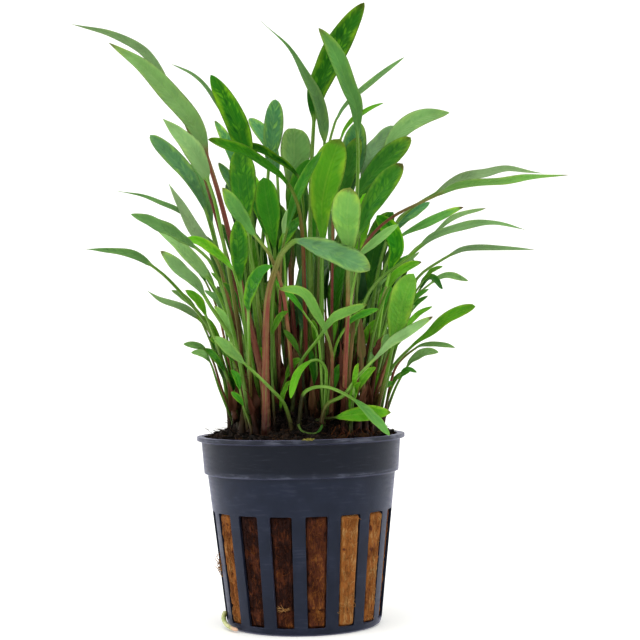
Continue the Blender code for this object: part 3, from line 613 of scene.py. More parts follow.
def crumbSpots(rng):
    # place, rise above the peat and size of each crumb, strewn or piled up, most piles at the front
    p = peatTop
    spots = []
    for _ in range(p["crumbs"]):
        radius = p["strewn"] * math.sqrt(rng.random())
        turn = rng.random() * 2 * math.pi
        size = (0.25 + 0.75 * rng.random() ** 2.5) * (0.5 if radius > p["smallFrom"] else 1)
        spots.append((radius * math.cos(turn), radius * math.sin(turn), 0.0, size))
    for i in range(p["piles"]):
        pileX = rng.uniform(-p["pilesWithin"], p["pilesWithin"])
        pileY = -math.sqrt(max(1.0, p["pileRing"] ** 2 - pileX ** 2)) * rng.uniform(-0.6, 1.0)
        tall = p["pileHeight"] * rng.uniform(0.4, 1.0)
        if i < len(p["heaps"]):
            pileX, pileY, tall = p["heaps"][i]
        for _ in range(p["pileCrumbs"]):
            off = rng.normal(size=2) * p["pileReach"] / 2
            rise = tall * max(0.0, 1 - math.hypot(*off) / p["pileReach"]) * rng.random() ** 0.5
            if math.hypot(pileX + off[0], pileY + off[1]) < p["pileLimit"]:
                spots.append((pileX + off[0], pileY + off[1], rise, rng.uniform(0.35, 1.0)))
    return spots


def makeCrumbs():
    # one crumb from a rough sphere, then many copies of its points
    deselectAll()
    bpy.ops.mesh.primitive_ico_sphere_add(subdivisions=1, radius=1)
    crumb = bpy.context.object
    form = np.array([v.co[:] for v in crumb.data.vertices])
    sides = np.array([f.vertices[:] for f in crumb.data.polygons])
    bpy.data.objects.remove(crumb)
    rng = np.random.default_rng(11)
    points, faces, tones = [], [], []
    spots = crumbSpots(rng)
    for x, y, rise, size in spots:
        stretch = size * (0.6 + 0.8 * rng.random(3))
        spin, _ = np.linalg.qr(rng.normal(size=(3, 3)))
        shaped = (form * (1 + 0.35 * rng.normal(size=(len(form), 1))) * stretch) @ spin
        centre = np.array([x, y, peatHeight(x, y) + 0.3 * size + rise])
        faces += (sides + len(points)).tolist()
        points += ((shaped + centre) * mm).tolist()
        # painted shade: crumbs raised into the piles between the stalks get 0.55 of their tone
        tones += [(0.1 + 0.9 * rng.random() ** 2) * (1 if rise == 0 else 0.55)] * len(form)
    mesh = bpy.data.meshes.new("peatCrumbs")
    mesh.from_pydata(points, [], faces)
    setAttribute(mesh, "woolTone", tones)
    crumbs = addObject("peatCrumbs", mesh)
    faceOutwards(crumbs)
    finishPiece(crumbs, "peatCrumbs", [], bpy.data.materials["wetPeat"])
    print("peat crumbs", len(spots))


# Loose fibres on the wool: between which angles and heights, in degrees and mm, how many, their tones, how
# far they stand off, their length, and how much they run up or down
looseBits = {
    "tuftLeft": ((-84, -72), (14.5, 18.5), 34, (0.7, 1.1), 1.3, 2.6, 1),
    "wispLeftEdge": ((24.5, 28.5), (5.0, 8.6), 12, (1.1, 1.5), 0.5, 1.3, 1),
    "wispRightEdge": ((34.5, 38.5), (5.4, 9.4), 10, (1.0, 1.4), 0.5, 1.2, 1),
    "rootletLow": ((-16.0, -11.5), (6.5, 7.4), 30, (0.9, 1.4), 0.2, 1.3, 0.15),
    "redFibre": ((49, 59), (3.0, 7.0), 46, (0.2, 0.75), 0.3, 2.0, 1),
    "upperEdge": ((26, 38), (29.0, 30.2), 26, (0.8, 1.2), 0.3, 1.6, 1),
    "backTuft": ((140, 150), (20, 24), 24, (0.6, 1.1), 1.0, 2.4, 1),
}


def makeLooseFibres(dice):
    strands = []
    for angles, heights, count, tones, lift, length, upright in looseBits.values():
        for _ in range(count):
            degrees = dice.uniform(*angles)
            z = dice.uniform(*heights)
            start = aroundAxis(potWallRadius(z) - netPot["wall"] * dice.uniform(0.2, 1.0), degrees, z)
            outward = aroundAxis(1, degrees, 0)
            along = Vector((dice.uniform(-1, 1), dice.uniform(-1, 1), dice.uniform(-1, 1)))
            along.z *= upright
            along = (along - 0.7 * along.dot(outward) * outward).normalized()
            rise = lift * dice.uniform(0.5, 1.0)
            curl = outward.cross(along) * dice.uniform(-0.6, 0.6)
            line = []
            for t in (0, 0.2, 0.4, 0.6, 0.8, 1):
                arch = rise * math.sin(math.pi * min(1, t * 1.2))
                line.append(start + length * t * along + curl * t * t + arch * outward)
            size = 0.07 * dice.uniform(0.6, 1.3)
            radii = [size * share for share in (0.6, 1, 1, 0.9, 0.7, 0.3)]
            strands.append((line, radii, dice.uniform(*tones)))
    wisps = tubes("looseFibres", strands, 4)
    finishPiece(wisps, "looseFibres", [], woolMaterial("bleachedMineralFibre", 0.1))


def wander(dice, place, heading, step, sway, nod, above, rim=math.inf):
    # the line of a root that creeps on over the peat, and turns back where it gets past the rim
    line = [place]
    for _ in range(6):
        bend = Vector((dice.gauss(0, sway), dice.gauss(0, sway), dice.gauss(0, nod) if nod else 0))
        heading = (heading + bend).normalized()
        place = place + heading * step
        if place.x ** 2 + place.y ** 2 > rim ** 2:
            heading = -heading
        place.z = max(place.z, peatHeight(place.x, place.y) + above)
        line.append(place.copy())
    return line


# Fine dead roots in a pile between the stalks, dark with a few brown ones, and brown ones on the rim
# The dark pile between the stalks also stands in for shade at the foot of the clump
tangle = {
    "count": 1700, "reach": 24.0, "pile": 6.5, "pileReach": 20, "radius": 0.09, "step": 0.85,
    "turnBack": 25.3, "rimEvery": 14, "rimAngle": (-80, 60), "rimReach": (22.5, 25.6), "rimStep": 0.45,
    "tones": (0.0, 0.05, 0.1, 0.2, 0.5, 0.9),
}


def makeDeadRoots(dice):
    g = tangle
    strands = []
    for i in range(g["count"]):
        onRim = i % g["rimEvery"] == 0
        turn = dice.uniform(*g["rimAngle"]) if onRim else dice.uniform(-180, 180)
        radius = dice.uniform(*g["rimReach"]) if onRim else g["reach"] * math.sqrt(dice.random())
        x, y, _ = aroundAxis(radius, turn, 0)
        inside = max(0, 1 - (radius / g["pileReach"]) ** 2)
        pile = 0 if onRim else g["pile"] * inside * dice.random()
        place = Vector((x, y, peatHeight(x, y) + 0.15 + pile))
        upward = 0.03 if onRim else 0.05 + 0.5 * inside
        heading = Vector((dice.gauss(0, 1), dice.gauss(0, 1), dice.gauss(0, upward))).normalized()
        line = wander(dice, place, heading, g["rimStep"] if onRim else g["step"], 0.4, 0.6 * upward, 0.05,
                      g["turnBack"])
        size = g["radius"] * dice.uniform(0.5, 1.6)
        tone = dice.choice(g["tones"]) + (0.4 if onRim else 0)
        strands.append((line, [size * share for share in (0.7, 1, 1, 1, 0.9, 0.8, 0.4)], tone))
    roots = tubes("deadRoots", strands, 3)
    finishPiece(roots, "deadRoots", [], bpy.data.materials["wetPeat"])
    print("dead roots", len(strands))


# Young rootlets, orange brown, that hang from the crowns at the right
rootlets = {"count": 80, "angle": (24, 60), "from": (19.0, 24.0), "top": (50.9, 53.6), "radius": 0.09,
            "step": 0.75}


def makeRootlets(dice):
    g = rootlets
    strands = []
    for _ in range(g["count"]):
        place = aroundAxis(dice.uniform(*g["from"]), dice.uniform(*g["angle"]), dice.uniform(*g["top"]))
        heading = Vector((dice.gauss(0, 0.35), dice.gauss(0, 0.35), -1)).normalized()
        line = wander(dice, place, heading, g["step"], 0.35, 0, 0.1)
        size = g["radius"] * dice.uniform(0.5, 1.4)
        radii = [size * share for share in (0.5, 1, 1, 0.9, 0.8, 0.7, 0.3)]
        strands.append((line, radii, dice.uniform(-0.1, 0.5)))
    young = tubes("youngRootlets", strands, 3)
    finishPiece(young, "youngRootlets", [], woolMaterial("youngRootSkin", 0.1))


# A pinch of moss on the lip at the front
rimMoss = {"count": 46, "angle": 4.7, "inset": 0.35, "z": 49.9, "spread": 0.55, "radius": 0.06,
           "green": "8f8b34", "pale": "b3ab62"}


def mossMaterial():
    # Yellow-green moss, dull and dry
    material, tree, shader = newMaterial("dryMoss", {"Roughness": 0.8, "Specular IOR Level": 0.2})
    tone = addNode(tree, "Attribute", {}, "Fac", attribute_name="woolTone")
    green, pale = colour(rimMoss["green"]), colour(rimMoss["pale"])
    connect(tree, shader, {"Base Color": addNode(tree, "Mix", {0: tone, 6: green, 7: pale}, 2, **mixed)})
    return material


def makeRimMoss(dice):
    g = rimMoss
    strands = []
    for _ in range(g["count"]):
        foot = aroundAxis(netPot["lipRadius"] - g["inset"] + dice.gauss(0, 0.22),
                          g["angle"] + dice.gauss(0, 1.1), g["z"])
        out = Vector((dice.gauss(0, 1), dice.gauss(-0.6, 0.7), dice.uniform(-0.2, 1.4)))
        tip = foot + out * g["spread"]
        middle = (foot + tip) / 2 + Vector((dice.gauss(0, 0.1), dice.gauss(0, 0.1), 0.12))
        size = g["radius"] * dice.uniform(0.7, 1.4)
        strands.append(([foot, middle, tip], [size, size, 0.4 * size], dice.random()))
    finishPiece(tubes("rimMoss", strands, 4), "rimMoss", [], mossMaterial())


def makeLooseBits():
    dice = random.Random(9)
    makeLooseFibres(dice)
    makeDeadRoots(dice)
    makeRootlets(dice)
    makeRimMoss(dice)
    print("loose fibres, dead roots, rootlets and moss")


# Leaves, in mm. The eye, the lean, the outline and the rows below repeat the frame's own leaves
leafForm = {
    "eyeDistance": 425.0, "eyeX": 5.2, "eyeZ": 74.0, "lean": 0.02,
    "stalkSteps": 12, "bladeSteps": 12, "thickness": 0.5, "tipThickness": 0.2, "taper": 0.35,
    "bladeThickness": 0.34, "bladeThinning": 0.2, "tipWidth": 0.04, "footFlare": 0.45, "fold": 0.32,
    "ribWidth": 0.33, "ribGroove": 0.1, "ribKeel": 0.22,
    "rootLimit": 21.3, "clearance": 0.45, "peatZ": 50.0,
    "details": {"full": {"sides": 20, "stalk": 26, "blade": 42},
                "light": {"sides": 12, "stalk": 16, "blade": 24}},
}
stationCount = leafForm["stalkSteps"] + leafForm["bladeSteps"] + 1

# name, finish, blade length and width, stalk width, roll in degrees, depth of foot and tip, path seen
# from the front as (across, up), foot first
frameLeaves = [
    # Left side, from the top down
    ("leaf_left_01", "leaf_bright", 41, 5.8, 1.8, 28, -14, 5,
     [(-9.4, 51), (-11.3, 65), (-14.7, 80), (-20.3, 104), (-23.5, 116), (-26.3, 124.5),
      (-29.5, 132), (-36.2, 140.5), (-44.1, 148.4), (-52.3, 154.2)]),
    ("leaf_left_02", "leaf_sage", 36, 3.4, 1.2, 35, 6, 32,
     [(-8, 51), (-14, 73), (-20, 95), (-26, 116), (-31, 131), (-41.7, 150.3), (-50.7, 155.8),
      (-62.1, 159.1)]),
    ("leaf_left_03", "leaf_sage", 21, 5.2, 1.4, 25, -3, -12,
     [(-15.8, 52), (-17.1, 75), (-19.5, 90), (-21.6, 101), (-24.5, 114), (-28.5, 123), (-31.1, 127),
      (-37.8, 133.9)]),
    ("leaf_left_04", "leaf_blue", 26, 5.4, 1.3, 25, 3, 16,
     [(-16.8, 52), (-19.2, 78), (-21.1, 88.5), (-22.7, 96), (-26.2, 109), (-31.1, 118.7), (-35.1, 123),
      (-41.1, 129.5)]),
    ("leaf_left_05", "leaf_dark", 18, 3.4, 1.1, 30, 9, 38,
     [(-12.5, 51), (-19, 82), (-24.9, 107), (-26.8, 114.7), (-30.2, 122.4)]),
    ("leaf_left_06", "leaf_sage", 22, 4.0, 1.3, 30, 1, 7,
     [(-12, 51), (-17.6, 73), (-20.3, 86), (-23.5, 96.5), (-28.5, 102.6), (-31.1, 107), (-36.2, 116.7)]),
    ("leaf_left_07", "leaf_green", 20, 3.9, 1.2, 35, -10, -40,
     [(-14, 51), (-18.2, 74), (-21.9, 88.5), (-25.7, 96.7), (-29.8, 100), (-36.4, 104), (-46.2, 108.4)]),
    ("leaf_left_08", "leaf_sage", 20, 3.8, 1.2, 32, 1, -4,
     [(-16.2, 52), (-19.7, 78), (-23.5, 88.2), (-27.7, 93.8), (-33, 99.4), (-39.9, 104.8)]),
    ("leaf_left_09", "leaf_bright", 17, 3.0, 1.1, 35, -4, -18,
     [(-10.4, 51), (-15.5, 78), (-18.4, 92.4), (-20.3, 95.1), (-24.2, 98.6), (-28.5, 101.2),
      (-32.9, 101.4)]),
    ("leaf_left_10", "leaf_green", 19, 2.5, 1.2, 35, -1, -10,
     [(-17.8, 52), (-21.1, 67), (-25.3, 78), (-30.6, 85), (-37.8, 92.6), (-44.4, 97), (-49.2, 98.3),
      (-58.7, 99.2)]),
    ("leaf_left_11", "leaf_green", 17, 4.0, 1.4, 30, -5, -26,
     [(-13, 51), (-17.9, 72), (-21.3, 78.4), (-24.8, 83.7), (-28.5, 89.5), (-33, 93.3), (-38.3, 98.6)]),
    ("leaf_left_12", "leaf_sage", 16, 2.6, 1.1, 35, 2, 14,
     [(-18.6, 52), (-21.9, 68.6), (-25.8, 78), (-31.4, 82.9), (-38.3, 85.6), (-42, 88.2)]),
    ("leaf_left_13", "leaf_green", 22, 1.8, 0.9, 35, 11, 44,
     [(-10, 51), (-17, 78), (-24, 97), (-29.5, 106), (-33.8, 109.4), (-43.3, 113.3), (-50, 114.6)]),
    ("leaf_left_14", "leaf_bright", 11, 3.2, 1.1, 30, -15, -27,
     [(-3.2, 51), (-5.4, 58), (-8.9, 62), (-12.1, 65.2), (-17.6, 70.2), (-20.8, 73.1), (-24.2, 75.8)]),

    # Middle, left of the axis
    ("leaf_middle_01", "leaf_dark", 30, 6.4, 1.5, 20, 5, 12,
     [(-9, 51), (-12.3, 75), (-14.3, 96.7), (-14.6, 111), (-15.5, 121.6), (-18.2, 132.2), (-25, 145.6)]),
    ("leaf_middle_02", "leaf_green", 26, 4.8, 1.4, 45, -5, -34,
     [(1, 51), (0, 86), (-0.7, 104.4), (-2.5, 113.4), (-5.7, 117.7), (-10.2, 121.4), (-15.6, 124.3),
      (-25.7, 128.3)]),
    ("leaf_middle_03", "leaf_dark", 21, 3.4, 1.2, 40, 7, 12,
     [(3, 51), (1.8, 80), (0.4, 101.8), (-1.3, 117.4), (-3.6, 120.3), (-7.8, 123.2), (-13.1, 125.9),
      (-19.5, 127.5)]),
    ("leaf_middle_04", "leaf_blue", 20, 5.8, 1.4, 20, 11, 34,
     [(-6, 51), (-11.3, 91.2), (-10.2, 112.4), (-9.1, 125.6), (-7.7, 139)]),
    ("leaf_middle_05", "leaf_blue", 18, 5.0, 1.3, 25, 13, 46,
     [(-2, 51), (-6.5, 101.8), (-7.3, 119), (-8.9, 125.3), (-11.5, 130.1), (-14.7, 134)]),
    ("leaf_middle_06", "leaf_sage", 21, 8.8, 1.4, 15, 9, 24,
     [(0, 51), (-3.8, 91.2), (-3.4, 112.4), (-3.0, 119.5), (-2.6, 131.3)]),
    ("leaf_middle_07", "leaf_blue", 16, 3.4, 1.1, 30, 10, 40,
     [(-11, 51), (-14, 80), (-16.3, 104.4), (-18.2, 119), (-20.8, 127.5), (-23.9, 133.4)]),
    ("leaf_middle_08", "leaf_green", 16, 4.0, 1.3, 25, -9, -36,
     [(-2, 51), (-5.4, 86), (-8.9, 97), (-12.3, 101.5), (-15.8, 106), (-19.7, 111.8), (-21.9, 115.5)]),
    ("leaf_middle_09", "leaf_dark", 17, 4.9, 1.3, 20, -5, -36,
     [(-13, 51), (-15.8, 78), (-17.4, 93.8), (-17.6, 100.4), (-18.2, 106.7)]),
    ("leaf_middle_10", "leaf_green", 20, 6.0, 1.4, 15, -8, -34,
     [(-7, 51), (-8.6, 78), (-7.9, 96.5), (-8.6, 103.6), (-10.2, 112.4), (-11, 118.2)]),

    # Middle, right of the axis
    ("leaf_middle_11", "leaf_dark", 35, 7.6, 1.5, 15, 4, 8,
     [(3, 51), (2, 80.6), (1.5, 107), (2, 124.8), (3.3, 140.2), (6.8, 148.1), (10.7, 156.1), (15.9, 164.9)]),
    ("leaf_middle_12", "leaf_green", 32, 5.0, 1.4, 15, -1, -3,
     [(10, 51), (12.1, 86), (13.9, 113), (14.2, 123), (13.6, 137), (11.5, 142.3), (8.9, 149.2), (6.2, 154.5),
      (3.7, 158.1)]),
    ("leaf_middle_13", "leaf_green", 38, 3.9, 1.2, 30, 1, -10,
     [(4, 51), (3.6, 80.6), (4.6, 112.4), (5.3, 127.5), (3.6, 137.5), (0.1, 145.4), (-4.6, 153.2),
      (-12.1, 160.3)]),
    ("leaf_middle_14", "leaf_green", 26, 2.0, 1.1, 35, 6, 30,
     [(5, 51), (4.6, 107), (6.5, 128), (7.6, 131.7), (11, 137.5), (18.9, 144.4), (26.6, 150.3)]),
    ("leaf_middle_15", "leaf_sage", 24, 6.4, 1.4, 25, 15, 44,
     [(11, 51), (12.6, 78), (16, 101.8), (19.5, 117.7), (23.2, 126.7), (26.6, 130.9), (31.9, 134.1),
      (38.6, 135.5)]),
    ("leaf_middle_16", "leaf_blue", 18, 4.8, 1.3, 25, 12, 40,
     [(12, 51), (12.1, 86), (14.2, 112.4), (17.4, 123.8), (20.8, 128.3), (23.7, 132)]),
    ("leaf_middle_17", "leaf_blue", 22, 7.2, 1.4, 15, 10, 34,
     [(9, 51), (11, 90), (12.1, 116.1), (13.4, 125.6), (14.2, 133)]),
    ("leaf_middle_18", "leaf_bright", 31, 8.6, 1.6, 10, -6, -17,
     [(5, 51), (4.6, 78), (4.6, 95.7), (4.9, 102.6), (4.6, 111), (6.5, 120.3), (9.4, 128.5)]),
    ("leaf_middle_19", "leaf_bright", 20, 7.4, 1.5, 15, -11, -38,
     [(10, 51), (10.7, 65), (11.5, 84.5), (11.5, 93), (11.8, 99.5), (11.3, 107.9), (12.1, 115.5)]),
    ("leaf_middle_20", "leaf_green", 23, 6.2, 1.4, 20, 5, 11,
     [(11, 51), (11.5, 80.6), (12.6, 101.8), (14.7, 114), (18.2, 119), (23.2, 124), (28.2, 128.9)]),
    ("leaf_middle_21", "leaf_green", 23, 6.4, 1.4, 25, -1, -8,
     [(13, 51), (12.1, 78), (12.9, 99.6), (15.5, 104.7), (17.6, 110.5), (22.1, 116.6), (26.1, 121.9)]),

    # Right side, from the top down
    ("leaf_right_01", "leaf_sage", 30, 4.4, 1.3, 40, 3, 24,
     [(15, 51), (18.7, 88.5), (22.5, 103), (27.8, 109.5), (37.8, 115.6), (41.2, 117.4), (46.8, 118.9),
      (53.4, 120.2), (63.5, 119.3)]),
    ("leaf_right_02", "leaf_bright", 36, 4.2, 1.2, 45, 0, -6,
     [(9, 51), (11.5, 78), (15, 98.3), (22.1, 106.8), (33.3, 112.6), (41.2, 115.8), (52.6, 116.9),
      (59, 117.9), (70.5, 118.9)]),
    ("leaf_right_03", "leaf_green", 19, 3.0, 1.2, 40, 6, 13,
     [(16, 51), (19.5, 88.5), (25, 101.8), (28.2, 103.9), (33.5, 106.3), (39.9, 109.4), (42.3, 110.3)]),
    ("leaf_right_04", "leaf_sage", 18, 1.8, 1.0, 35, 9, 40,
     [(18, 51), (22, 80), (26.6, 95.9), (34.1, 102.8), (39.9, 107.6), (48.2, 110)]),
    ("leaf_right_05", "leaf_green", 30, 3.2, 1.2, 35, -3, -28,
     [(8, 51), (12.6, 75), (17.4, 88.2), (21.3, 92.2), (28.2, 97.3), (33.5, 102), (42.5, 105.2),
      (50.7, 106), (58.6, 104.3)]),
    ("leaf_right_06", "leaf_green", 23, 2.6, 1.1, 40, 4, 6,
     [(17, 51), (22.7, 78), (29.8, 91.2), (35.9, 95.9), (42.5, 99), (52.1, 99.2), (61.1, 99)]),
    ("leaf_right_07", "leaf_sage", 11, 2.4, 0.9, 35, 8, 38,
     [(19, 51), (23, 70), (26.6, 83.2), (33.3, 89.8), (37.8, 92), (43.5, 90.7)]),
    ("leaf_right_08", "leaf_bright", 12, 3.0, 1.1, 35, -4, -11,
     [(14, 51), (17, 70), (20, 83.2), (24.2, 92), (28.2, 94.6), (31.1, 95.7)]),
    ("leaf_right_09", "leaf_bright", 21, 6.8, 1.3, 20, -8, -40,
     [(17.8, 51), (22.1, 67.3), (24.2, 77.4), (26.4, 86), (29, 92.6)]),
    ("leaf_right_10", "leaf_dark", 18, 5.0, 1.2, 20, 2, -2,
     [(16.5, 51), (20.5, 83.2), (22.9, 94.3), (24.5, 99.1), (23.2, 104), (19.2, 108.1)]),
    ("leaf_right_11", "leaf_sage", 15, 2.8, 1.0, 25, -6, -16,
     [(11, 51), (12.1, 83.2), (15, 97.3), (18.7, 100.7), (21.9, 103.4), (25, 105.7)]),
    ("leaf_right_12", "leaf_bright", 22, 3.4, 1.2, 35, -3, -21,
     [(19.5, 51), (20.8, 59.4), (22.9, 67), (28.2, 73), (33.5, 77), (38.6, 81.1), (45.4, 83.9)]),
    ("leaf_right_13", "leaf_sage", 20, 3.2, 1.2, 30, -15, -31,
     [(4.2, 51), (5.7, 57.5), (10.5, 60.4), (13.9, 65), (18.7, 70), (22.9, 74.1), (26.9, 76.6),
      (34.1, 81.2)]),
    ("leaf_right_14", "leaf_sage", 10, 2.6, 0.9, 30, 5, 22,
     [(20, 51), (24, 62), (27.7, 68.6), (29.8, 70.5), (32.5, 71.8), (35.6, 71.8)]),

    # Low leaves at the front
    ("leaf_front_01", "leaf_bright", 15, 4.2, 1.2, 25, -13, -23,
     [(-1.2, 51), (3.3, 53.6), (7.6, 54.3), (14.2, 55.2), (22.9, 55.7)]),
    ("leaf_front_02", "leaf_green", 14, 2.8, 1.2, 25, -15, -23,
     [(-1.6, 51), (-0.4, 60.5), (3.3, 62.5), (7.6, 62), (13.6, 58.8), (18.7, 53.8), (22.6, 49.6)]),
    ("leaf_front_03", "leaf_bright", 12, 2.2, 1.2, 20, -13, -22,
     [(4.8, 51), (5.7, 66.8), (3, 69.8), (-0.9, 67.3), (-2.5, 64.1), (-3.7, 59.4)]),
    ("leaf_front_04", "leaf_bright", 20, 3.2, 1.3, 25, -11, -21,
     [(7, 51), (7.3, 70.2), (6.5, 74.7), (4.6, 79.2), (0.4, 86.4), (-2, 88), (-7, 88.5)]),
    ("leaf_front_05", "leaf_blue", 22, 6.8, 2.1, 20, -16, -35,
     [(-10.2, 51), (-10.3, 72), (-10.2, 80), (-9.4, 88.5), (-5.7, 98.6), (-2.3, 101.2), (3.6, 99.6),
      (10.7, 96.5), (17.4, 93.5)]),
    ("leaf_front_06", "leaf_bright", 15, 2.8, 1.2, 30, -12, -25,
     [(-4, 51), (-1.5, 67.8), (3.6, 75.3), (7.6, 80.6), (10.2, 81.9), (16.6, 84.4)]),
    ("leaf_front_07", "leaf_dark", 15, 3.7, 1.2, 20, -9, -38,
     [(-14, 51), (-14.6, 70), (-15, 85.1), (-14.2, 88.2), (-11.8, 92.8), (-8.7, 94.7)]),
]

